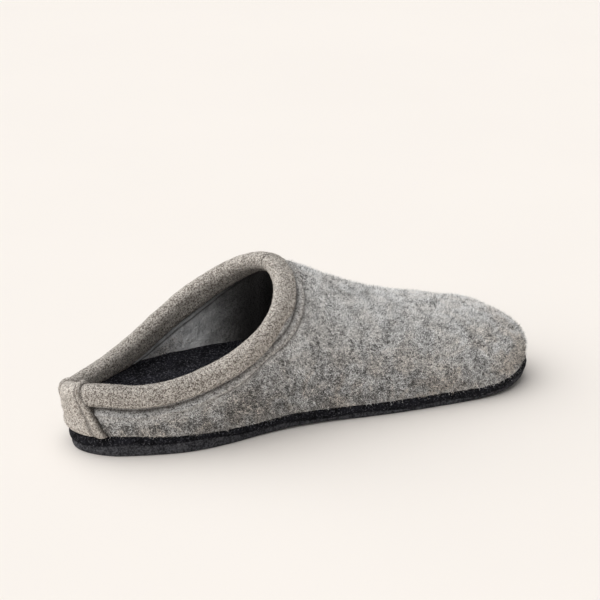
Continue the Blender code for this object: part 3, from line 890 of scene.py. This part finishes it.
def make_footbed(skin, material):
    """The felt footbed: a soft dished sheet that meets the wall all round."""
    rows = []
    for rib in range(1, COLLAR_RIBS + VAMP_RIBS):
        left = skin.inside_at(rib, footbed_top)
        right = skin.inside_at(skin.count - rib, footbed_top)
        line = []
        for across in np.linspace(-1.0, 1.0, FOOTBED_COLUMNS + 1):
            share = (math.sin(across * math.pi / 2) + 1) / 2
            point = left * (1 - share) + right * share
            side = abs(2 * share - 1)
            back = 1 - eased(point[0] / SOLE_LENGTH - FOOTBED_CUP_START)
            cup = FOOTBED_CUP * side**FOOTBED_CUP_POWER * back
            hollow = raised(point[0], FOOTBED_HOLLOW) * (1 - side**2)
            point[2] = footbed_top(point[0]) + cup - hollow
            line.append(point)
        rows.append(line)
    top = np.array(rows)
    count, columns = top.shape[:2]
    flat = top.reshape(-1, 3)
    flat[:, 2] += rough_at(flat, FOOTBED_LUMP)
    under = flat - (0.0, 0.0, FOOTBED_SKIRT)
    return make_piece(
        "felt_footbed", np.vstack((flat, under)), shell_faces(count, columns),
        material, ["insole"],
    )


# Fine forms of the sole's layers
MIDSOLE_ROUND = 0.0011
MIDSOLE_BULGE = 0.0003
OUTSOLE_ROUND = 0.0013
EDGE_LEVELS = 7
EDGE_MARGIN = 0.1
SPINE_SHARE = 0.8
HEEL_ROUND = 0.0018
HEEL_ROUND_RAMP = (0.006, 0.034)
BOUNDARY_DIP = 0.0022
BOUNDARY_DIP_END = 0.02
BOUNDARY_WAVE = 0.0005
BOUNDARY_WAVE_LENGTH = 0.045

Layer = namedtuple("Layer", "name slot node set_in rounds heel_round bulge bottom top roughs")


def outline_ring(set_in):
    out = [outline_point(k / SOLE_STEPS, -1, set_in) for k in range(SOLE_STEPS + 1)]
    back = [outline_point(k / SOLE_STEPS, 1, set_in) for k in range(SOLE_STEPS - 1, 0, -1)]
    return np.array([(point.x - toe_draw(point.x), point.y) for point in out + back])


def edge_profile(round_low, round_high, bulge):
    """Set-in and height share down the edge of a layer, from its underside to its top."""
    steps = np.linspace(0.0, math.pi / 2, EDGE_LEVELS)
    shares = np.linspace(EDGE_MARGIN, 1 - EDGE_MARGIN, EDGE_LEVELS)
    low = [(round_low * (1 - math.sin(t)), 1 - math.cos(t), "low") for t in steps]
    middle = [(-bulge * math.sin(math.pi * share), share, "middle") for share in shares]
    high = [(round_high * (1 - math.cos(t)), 1 - math.sin(t), "high") for t in steps]
    return low + middle + high


def edge_height(layer, x, part, share):
    """Height of one point of a layer's edge."""
    low, high = layer.bottom(x), layer.top(x)
    heel = 1 - ramp(x, *HEEL_ROUND_RAMP)
    under = layer.rounds[0] + layer.heel_round * heel
    if part == "low":
        return low + under * share
    if part == "high":
        return high - layer.rounds[1] * share
    return low + under + (high - low - under - layer.rounds[1]) * share


def cap_faces(first, count):
    """Faces across a closed ring of the outline."""
    half = count // 2
    faces = [(first, first + 1, first + count - 1)]
    for k in range(1, half - 1):
        faces.append((first + k, first + k + 1, first + count - k - 1, first + count - k))
    faces.append((first + half - 1, first + half, first + half + 1))
    return faces


def make_layer(layer, material):
    """One layer of the sole with soft, slightly uneven edges."""
    rings = []
    for set_in, share, part in edge_profile(*layer.rounds, layer.bulge):
        plan = outline_ring(layer.set_in + set_in)
        rings.append([(x, y, edge_height(layer, x, part, share)) for x, y in plan])
    rings = np.array(rings)
    levels, count = rings.shape[:2]
    centre = rings.mean(axis=(0, 1))
    flat = rings.reshape(-1, 3)
    spine = flat[:, 0] * SPINE_SHARE + centre[0] * (1 - SPINE_SHARE)
    away = (flat[:, 0] - spine, flat[:, 1] - centre[1], np.zeros(len(flat)))
    away = unit(np.stack(away, axis=1))
    for rough in layer.roughs:
        flat += away * rough_at(flat, rough)[:, None]
    faces = band_faces(levels, count, closed=False)
    faces += [face[::-1] for face in cap_faces(0, count)]
    faces += cap_faces((levels - 1) * count, count)
    return make_piece(layer.name, flat, faces, material, [layer.node])


def boundary(x):
    """Height where the black felt meets the grey sole: lower at the heel's back, a little wavy."""
    dip = BOUNDARY_DIP * (1 - ramp(x, 0.0, BOUNDARY_DIP_END))
    wave = math.sin(2 * math.pi * x / BOUNDARY_WAVE_LENGTH)
    return outsole_top(x) - dip + BOUNDARY_WAVE * wave


MIDSOLE = Layer(
    name="felt_midsole", slot="felt_black", node="midsole", set_in=0.0,
    rounds=(MIDSOLE_ROUND, MIDSOLE_ROUND), heel_round=0.0, bulge=MIDSOLE_BULGE,
    bottom=boundary, top=sole_top,
    roughs=(Rough(0.00022, 0.003, 10), Rough(0.00035, 0.014, 11)),
)
OUTSOLE = Layer(
    name="latex_outsole", slot="latex_grey", node="outsole", set_in=OUTSOLE_SET_IN / 2,
    rounds=(OUTSOLE_ROUND, CLEARANCE), heel_round=HEEL_ROUND, bulge=0.0,
    bottom=floor_lift, top=boundary,
    roughs=(Rough(0.00012, 0.0045, 20), Rough(0.00035, 0.014, 21)),
)


# Nap: fine fibres that stand on the cloth
NAP_TWIST = 0.35
NAP_LONGEST = 1.5
NAP_LENGTH_SPREAD = 0.45
NAP_BEND = 0.7
FIBRE_POINTS = 5
FIBRE_TRIANGLES = ((0, 1, 3), (0, 3, 2), (2, 3, 4))

NapRow = namedtuple("NapRow", "name seed count length width stand")
FELT_NAP = (
    NapRow("felt_nap_1", 100, 62000, 0.0022, 0.00022, (0.05, 0.35)),
    NapRow("felt_nap_2", 101, 62000, 0.002, 0.00018, (0.2, 0.8)),
    NapRow("felt_nap_3", 102, 56000, 0.0019, 0.00009, (0.5, 2.0)),
)
LINING_NAP = NapRow("lining_nap", 105, 20000, 0.0018, 0.00018, (0.05, 0.5))
BINDING_NAP = NapRow("binding_nap", 110, 30000, 0.0007, 0.00004, (0.1, 0.9))
TAB_NAP = NapRow("tab_nap", 111, 6000, 0.0007, 0.00004, (0.1, 0.9))


def vertex_vectors(mesh, name):
    values = np.empty(len(mesh.vertices) * 3, dtype=np.float32)
    mesh.vertices.foreach_get(name, values)
    return values.reshape(-1, 3).astype(float)


def fibre_mesh(name, ribbons):
    """A mesh of three triangles for each fibre: a quad at its root and a tip."""
    first = np.arange(len(ribbons))[:, None] * FIBRE_POINTS
    corners = (first + np.array(FIBRE_TRIANGLES).reshape(1, -1)).reshape(-1, 3)
    mesh = bpy.data.meshes.new(name)
    mesh.vertices.add(len(ribbons) * FIBRE_POINTS)
    mesh.vertices.foreach_set("co", ribbons.astype(np.float32).ravel())
    mesh.loops.add(corners.size)
    mesh.loops.foreach_set("vertex_index", corners.astype(np.int32).ravel())
    mesh.polygons.add(len(corners))
    mesh.polygons.foreach_set("loop_start", np.arange(0, corners.size, 3, dtype=np.int32))
    mesh.update(calc_edges=True)
    mesh.validate()
    return mesh


def grow_nap(nap, source, faces, material):
    """Grow fibres on some faces of a piece, as one joined mesh of thin tapered ribbons."""
    rng = np.random.default_rng(nap.seed)
    count = nap.count
    points = vertex_vectors(source.data, "co")
    normals = vertex_vectors(source.data, "normal")
    triangles = [face[:3] for face in faces] + [(face[0], face[2], face[-1]) for face in faces]
    triangles = np.array(triangles)
    a, b, c = (points[triangles[:, k]] for k in range(3))
    area = np.linalg.norm(np.cross(b - a, c - a), axis=1)
    if "bare" in source.data.attributes:
        bare = np.zeros(len(points))
        source.data.attributes["bare"].data.foreach_get("value", bare)
        area *= 1 - bare[triangles].mean(axis=1)
    chosen = triangles[rng.choice(len(triangles), count, p=area / area.sum())]
    u = np.sqrt(rng.random(count))[:, None]
    v = rng.random(count)[:, None]
    weights = (1 - u, u * (1 - v), u * v)
    root = sum(points[chosen[:, k]] * weights[k] for k in range(3))
    normal = unit(sum(normals[chosen[:, k]] * weights[k] for k in range(3)))
    lying = unit(np.cross(normal, rng.normal(size=(count, 3))))
    longer = np.exp(rng.normal(0.0, NAP_LENGTH_SPREAD, size=(count, 1)))
    half_length = nap.length * np.clip(longer, 0.0, NAP_LONGEST) / 2
    heading = unit(normal * rng.uniform(*nap.stand, size=(count, 1)) + lying)
    bend = unit(heading + unit(rng.normal(size=(count, 3))) * NAP_BEND)
    facing = normal + NAP_TWIST * rng.normal(size=(count, 3))
    side = unit(np.cross(heading, facing)) * nap.width / 2
    middle = root + heading * half_length
    tip = middle + bend * half_length
    root = root - normal * CLEARANCE
    ribbons = np.stack((root - side, root + side, middle - side, middle + side, tip), axis=1)
    piece = show_piece(nap.name, fibre_mesh(nap.name, ribbons), material)
    add_tone(piece, np.repeat(rng.random(count), FIBRE_POINTS))
    return piece


# Materials. Colours are shares of red, green and blue; pairs are dark and light.
FELT_COOL = ((0.4, 0.4, 0.404), (0.86, 0.862, 0.866))
FELT_WARM = ((0.38, 0.34, 0.304), (0.8, 0.74, 0.68))
# Painted light on the inner wall
FELT_LIT = ((0.62, 0.62, 0.63), (1.0, 1.0, 1.0))
FELT_PALE = (0.98, 0.96, 0.93)
FELT_HEM = (0.52, 0.465, 0.415)
# Painted shade under the throat and in the toe
FELT_THROAT_SHADE = (0.04, 0.038, 0.037)
# Painted shade along the felt's seams and grooves, with its dark stitch line
FELT_SEAM_SHADE = (0.04, 0.032, 0.026)
FELT_CLOUD_TINT = (0.72, 0.72, 0.72)
# Painted shade: a darker tint for the felt low down towards the heel
FELT_HEEL_SHADE_TINT = (0.5, 0.47, 0.44)
FELT_DARK_TINT = (0.28, 0.27, 0.26)
KNIT_BEIGE = ((0.33, 0.283, 0.247), (0.45, 0.397, 0.352))
# A lighter copy of the binding's beige: painted light on the tab, which faces the light
TAB_LIT_BEIGE = ((0.58, 0.52, 0.47), (0.73, 0.665, 0.605))
KNIT_PALE = (0.92, 0.87, 0.8)
# Painted shade along the knit's seams, grooves and rims, with dark stitch lines
KNIT_SEAM_SHADE = (0.025, 0.019, 0.015)
KNIT_DARK_TINT = (0.3, 0.28, 0.26)
FOOTBED_BLACK = (0.014, 0.014, 0.018)
MIDSOLE_BLACK = (0.011, 0.011, 0.014)
BLACK_CLOUDS = (0.5, 1.5)
PALE_FLECK = (0.3, 0.3, 0.33)
LATEX_GREY = ((0.024, 0.024, 0.028), (0.058, 0.059, 0.066))
LATEX_PALE = (0.1, 0.1, 0.11)
LATEX_RUBBED = (0.15, 0.15, 0.158)
LATEX_DARK_TINT = (0.45, 0.45, 0.45)
GREY_FIBRES = ((0.11, 0.105, 0.1), (1.0, 0.995, 0.985))
LINING_FIBRES = ((0.2, 0.195, 0.19), (0.88, 0.88, 0.89))
BEIGE_FIBRES = ((0.14, 0.115, 0.095), (0.98, 0.9, 0.82))
WARM_FIBRE_TINT = (0.98, 0.88, 0.78)

# Noises: scale per metre, detail, roughness and distortion
CLUMP_NOISE = (165.0, 4.0, 0.6, 0.35)
WARM_NOISE = (85.0, 2.0, 0.5, 0.8)
SPOTS = (0.38, 0.62)
WARM_SPOTS = (0.42, 0.6)
FINE_SPOTS = (0.4, 0.6)

# Fades: where each starts and ends, in metres, and its share at those two places
WARM_FELT_FADE = (0.01, 0.042, 0.85, 0.15)
# Painted shade on the felt, low down and towards the heel
HEEL_SHADE_HEIGHT_FADE = (0.01, 0.045, 0.8, 0.0)
HEEL_SHADE_LENGTH_FADE = (-0.08, 0.06, 1.0, 0.0)
# Painted shade and light on the nap: more dark fibres low down and at the heel, fewer at the top
# and the toe
NAP_SHADE_HEIGHT_FADE = (0.01, 0.05, 0.32, -0.08)
NAP_HEEL_SHADE_FADE = (-0.12, -0.02, 0.13, 0.0)
NAP_TOE_LIGHT_FADE = (0.02, 0.11, 0.0, -0.16)
WARM_FIBRE_FADE = (0.01, 0.045, 0.8, 0.15)
FIBRE_CLUMP_SPAN = (0.36, 0.64)
FIBRE_CLUMPING = 0.56
FIBRE_EDGE = 0.06
SPECULAR = 0.08
SHEEN_ROUGHNESS = 0.5
NOISE_INPUTS = ("Scale", "Detail", "Roughness", "Distortion")
RANGE_INPUTS = ("From Min", "From Max", "To Min", "To Max")
FINISH_INPUTS = ("Roughness", "Sheen Weight", "Sheen Roughness", "Specular IOR Level")


class Nodes:
    """Short calls for building one material's node tree."""

    def __init__(self, name):
        self.material = bpy.data.materials.new(name)
        self.material.use_nodes = True
        self.tree = self.material.node_tree
        self.shader = self.tree.nodes["Principled BSDF"]
        self.place = self.tree.nodes.new("ShaderNodeTexCoord").outputs["Object"]

    def link(self, source, target):
        self.tree.links.new(source, target)

    def fill(self, node, names, values):
        for name, value in zip(names, values):
            node.inputs[name].default_value = value

    def noise(self, scale, detail, roughness, distortion=0.0):
        node = self.tree.nodes.new("ShaderNodeTexNoise")
        self.fill(node, NOISE_INPUTS, (scale, detail, roughness, distortion))
        self.link(self.place, node.inputs["Vector"])
        return node.outputs["Fac"]

    def spread(self, value, low, high, to_low=0.0, to_high=1.0):
        node = self.tree.nodes.new("ShaderNodeMapRange")
        self.fill(node, RANGE_INPUTS, (low, high, to_low, to_high))
        self.link(value, node.inputs["Value"])
        return node.outputs["Result"]

    def spots(self, *sizes, span=SPOTS):
        """Noise drawn apart into dark and light spots."""
        return self.spread(self.noise(*sizes), *span)

    def math(self, operation, first, second):
        node = self.tree.nodes.new("ShaderNodeMath")
        node.operation = operation
        for slot, value in zip(node.inputs, (first, second)):
            if isinstance(value, (int, float)):
                slot.default_value = value
            else:
                self.link(value, slot)
        return node.outputs[0]

    def plus(self, first, second):
        return self.math("ADD", first, second)

    def times(self, first, second):
        return self.math("MULTIPLY", first, second)

    def mix(self, share, first, second, blend="MIX"):
        node = self.tree.nodes.new("ShaderNodeMix")
        node.data_type = "RGBA"
        node.blend_type = blend
        for slot, value in zip((node.inputs[k] for k in (0, 6, 7)), (share, first, second)):
            if isinstance(value, (int, float)):
                slot.default_value = value
            elif isinstance(value, tuple):
                slot.default_value = (*value, 1.0)
            else:
                self.link(value, slot)
        return node.outputs[2]

    def tinted(self, base, tint):
        return self.mix(1.0, base, tint, "MULTIPLY")

    def stored(self, name):
        node = self.tree.nodes.new("ShaderNodeAttribute")
        node.attribute_name = name
        return node.outputs["Fac"]

    def axis(self, name):
        node = self.tree.nodes.new("ShaderNodeSeparateXYZ")
        self.link(self.place, node.inputs[0])
        return node.outputs[name]

    def bump(self, value, strength, distance):
        node = self.tree.nodes.new("ShaderNodeBump")
        self.fill(node, ("Strength", "Distance"), (strength, distance))
        self.link(value, node.inputs["Height"])
        self.link(node.outputs["Normal"], self.shader.inputs["Normal"])

    def finish(self, colour, roughness, sheen=0.0):
        self.link(colour, self.shader.inputs["Base Color"])
        self.fill(self.shader, FINISH_INPUTS, (roughness, sheen, SHEEN_ROUGHNESS, SPECULAR))
        return self.material


def grey_felt():
    """Mottled wool felt: cool and warm grey clumps under a salt and pepper grain."""
    n = Nodes("felt_grey_look")
    clouds = n.spots(62.0, 2.0, 0.5, 0.5)
    clumps = n.spots(*CLUMP_NOISE)
    warm = n.spots(*WARM_NOISE, span=WARM_SPOTS)
    grain = n.spots(760.0, 2.0, 0.7, 0.6)
    pepper = n.spots(1500.0, 1.0, 0.5, span=FINE_SPOTS)
    low = n.spread(n.axis("Z"), *WARM_FELT_FADE)
    base = n.mix(n.times(warm, low), n.mix(clumps, *FELT_COOL), n.mix(clumps, *FELT_WARM))
    base = n.mix(clouds, n.tinted(base, FELT_CLOUD_TINT), base)
    # painted shade: darker felt low down towards the heel, where less light falls
    painted_heel_shade = n.spread(n.axis("Z"), *HEEL_SHADE_HEIGHT_FADE)
    painted_heel_shade = n.times(painted_heel_shade, n.spread(n.axis("X"), *HEEL_SHADE_LENGTH_FADE))
    base = n.mix(painted_heel_shade, base, n.tinted(base, FELT_HEEL_SHADE_TINT))
    base = n.mix(n.stored("hem"), base, FELT_HEM)
    dark = n.tinted(base, FELT_DARK_TINT)
    base = n.mix(n.times(n.plus(grain, pepper), 0.5), dark, n.mix(0.6, base, FELT_PALE))
    # painted light on the inner wall towards the heel, painted shade under the throat and in the
    # toe
    base = n.mix(n.stored("lit"), base, n.mix(clumps, *FELT_LIT))
    base = n.mix(n.stored("deep"), base, FELT_THROAT_SHADE)
    # painted shade along the seams and grooves, with the dark stitch line
    base = n.mix(n.times(n.stored("seam"), 0.75), base, FELT_SEAM_SHADE)
    n.bump(n.plus(grain, n.times(clumps, 1.6)), strength=0.6, distance=0.0006)
    return n.finish(base, roughness=0.95, sheen=0.08)


def beige_knit(name, beige):
    """Fine beige melange knit with a tight grain."""
    n = Nodes(name)
    clouds = n.spots(90.0, 2.0, 0.5, 0.3)
    grain = n.spots(850.0, 2.0, 0.7, 0.3)
    pepper = n.spots(1700.0, 1.0, 0.5, span=FINE_SPOTS)
    base = n.mix(clouds, *beige)
    dark = n.tinted(base, KNIT_DARK_TINT)
    base = n.mix(n.times(n.plus(grain, pepper), 0.5), dark, n.mix(0.65, base, KNIT_PALE))
    # painted shade along the seams, grooves and rims
    base = n.mix(n.times(n.stored("seam"), 0.9), base, KNIT_SEAM_SHADE)
    n.bump(n.plus(grain, pepper), strength=0.6, distance=0.0005)
    return n.finish(base, roughness=0.92, sheen=0.08)


def black_felt(name, colour, fleck):
    """Near-black felt with pale flecks of fibre."""
    n = Nodes(name)
    clouds = n.spots(150.0, 3.0, 0.6)
    flecks = n.spots(900.0, 2.0, 0.7, span=(0.5, 0.72))
    fine = n.spots(1900.0, 1.0, 0.5, span=(0.42, 0.64))
    base = n.mix(clouds, *(tuple(share * c for c in colour) for share in BLACK_CLOUDS))
    base = n.mix(n.times(flecks, n.times(fine, fleck)), base, PALE_FLECK)
    n.bump(n.plus(clouds, fine), strength=0.8, distance=0.0006)
    return n.finish(base, roughness=1.0)


def grey_latex():
    """Matt dark grey sole sheet with a fine, rubbed grain."""
    n = Nodes("latex_grey_look")
    clouds = n.spots(110.0, 3.0, 0.6, 0.5, span=(0.36, 0.64))
    grain = n.spots(900.0, 2.0, 0.7, span=(0.4, 0.62))
    rubbed = n.spots(260.0, 4.0, 0.7, span=(0.52, 0.72))
    base = n.mix(clouds, *LATEX_GREY)
    base = n.mix(n.times(grain, 0.75), n.tinted(base, LATEX_DARK_TINT), LATEX_PALE)
    base = n.mix(n.times(rubbed, 0.5), base, LATEX_RUBBED)
    n.bump(n.plus(grain, rubbed), strength=0.5, distance=0.0004)
    return n.finish(base, roughness=0.85)


def nap_look(name, fibres, dark_share):
    """Dark and pale loose fibres, with more dark ones in some clumps; more dark ones low down and
    at the heel and fewer at the top and the toe are painted shade and light.
    """
    n = Nodes(name)
    dark, pale = fibres
    swing = FIBRE_CLUMPING * dark_share
    limit = n.spread(n.noise(*CLUMP_NOISE), *FIBRE_CLUMP_SPAN, swing, -swing)
    # painted shade and light: more dark fibres at the heel and low down, fewer at the toe and the
    # top
    limit = n.plus(limit, n.spread(n.axis("X"), *NAP_HEEL_SHADE_FADE))
    limit = n.plus(limit, n.spread(n.axis("X"), *NAP_TOE_LIGHT_FADE))
    limit = n.plus(limit, n.spread(n.axis("Z"), *NAP_SHADE_HEIGHT_FADE))
    limit = n.plus(limit, dark_share)
    tone = n.spread(n.math("SUBTRACT", n.stored("tone"), limit), -FIBRE_EDGE, FIBRE_EDGE)
    warm = n.spread(n.axis("Z"), *WARM_FIBRE_FADE)
    warm = n.times(warm, n.spots(*WARM_NOISE, span=WARM_SPOTS))
    warm_fibre = tuple(c * tint for c, tint in zip(pale, WARM_FIBRE_TINT))
    return n.finish(n.mix(tone, dark, n.mix(warm, pale, warm_fibre)), roughness=0.95)


# Stage
CAMERA_AZIMUTH = -31.54
CAMERA_ELEVATION = 22.5
CAMERA_DISTANCE = 1.1
CAMERA_CLIP = (0.05, 20.0)
FOCAL_PIXELS = 2049.0
FRAME_PIXELS = 600.0
TARGET_LEFT_OF_CENTRE = 3.6
TARGET_BELOW_CENTRE = 95.4
SENSOR_WIDTH = 36.0
FLOOR_COLOUR = (0.895, 0.846, 0.795)
FLOOR_DARKER = 0.99
FLOOR_REACH = 4.0
SKY_COLOUR = (1.0, 1.0, 1.0, 1.0)
SKY_STRENGTH = 0.31
SUN_STRENGTH = 3.32
SUN_SOFTNESS = 120.0
SUN_TOWARDS = (-0.62, 0.3, 0.725)


def add_aimed(name, data, direction):
    item = add_object(name, data)
    item.rotation_mode = "QUATERNION"
    item.rotation_quaternion = direction.to_track_quat("-Z", "Y")
    return item


def add_camera():
    """The photograph's camera, fitted to the sole's outline."""
    turn = math.radians(CAMERA_AZIMUTH)
    tilt = math.radians(CAMERA_ELEVATION)
    flat = math.cos(tilt)
    back = Vector((math.sin(turn) * flat, -math.cos(turn) * flat, math.sin(tilt)))
    right = Vector((math.cos(turn), math.sin(turn), 0.0))
    up = back.cross(right)
    target = PLACE + Vector((SOLE_LENGTH / 2, 0.0, 0.0))
    eye = target + back * CAMERA_DISTANCE
    shift = right * TARGET_LEFT_OF_CENTRE + up * TARGET_BELOW_CENTRE
    aim = target + shift * CAMERA_DISTANCE / FOCAL_PIXELS
    lens = bpy.data.cameras.new("camera")
    lens.sensor_width = SENSOR_WIDTH
    lens.lens = SENSOR_WIDTH * FOCAL_PIXELS / FRAME_PIXELS
    lens.clip_start, lens.clip_end = CAMERA_CLIP
    camera = add_aimed("camera", lens, aim - eye)
    camera.location = eye
    bpy.context.scene.camera = camera


def add_floor():
    mesh = bpy.data.meshes.new("floor")
    signs = ((-1, -1), (1, -1), (1, 1), (-1, 1))
    corners = [(x * FLOOR_REACH, y * FLOOR_REACH, 0.0) for x, y in signs]
    mesh.from_pydata(corners, [], [(0, 1, 2, 3)])
    floor = add_object("floor", mesh)
    n = Nodes("floor_look")
    tone = n.spots(6.0, 2.0, 0.5, span=(0.3, 0.7))
    colour = n.mix(tone, tuple(FLOOR_DARKER * c for c in FLOOR_COLOUR), FLOOR_COLOUR)
    mesh.materials.append(n.finish(colour, roughness=0.9))


def add_light():
    """An even sky and one broad light from the upper left."""
    world = bpy.data.worlds.new("soft_room")
    world.use_nodes = True
    background = world.node_tree.nodes["Background"]
    background.inputs["Color"].default_value = SKY_COLOUR
    background.inputs["Strength"].default_value = SKY_STRENGTH
    bpy.context.scene.world = world
    light = bpy.data.lights.new("window", "SUN")
    light.energy = SUN_STRENGTH
    light.angle = math.radians(SUN_SOFTNESS)
    add_aimed("window", light, -Vector(SUN_TOWARDS))
    bpy.context.scene.view_settings.view_transform = "Standard"
    bpy.context.scene.view_settings.look = "None"


def build():
    skin = Skin()
    upper = make_upper(skin, grey_felt())
    binding = make_binding(skin, beige_knit("binding_look", KNIT_BEIGE))
    # the tab wears the binding's knit painted lighter, as painted light
    tab = make_tab(skin, beige_knit("tab_look", TAB_LIT_BEIGE))
    make_footbed(skin, black_felt("footbed_black_look", FOOTBED_BLACK, fleck=1.0))
    make_layer(MIDSOLE, black_felt("midsole_black_look", MIDSOLE_BLACK, fleck=0.6))
    make_layer(OUTSOLE, grey_latex())
    grey_nap = nap_look("grey_nap_look", GREY_FIBRES, dark_share=0.35)
    lining_nap = nap_look("lining_nap_look", LINING_FIBRES, dark_share=0.3)
    beige_nap = nap_look("beige_nap_look", BEIGE_FIBRES, dark_share=0.38)
    for nap in FELT_NAP:
        grow_nap(nap, upper, skin.faces, grey_nap)
    grow_nap(LINING_NAP, upper, skin.inner_faces(), lining_nap)
    for nap, piece in ((BINDING_NAP, binding), (TAB_NAP, tab)):
        shown = [tuple(face.vertices) for face in piece.data.polygons]
        grow_nap(nap, piece, shown, beige_nap)


add_camera()
add_floor()
add_light()
build()
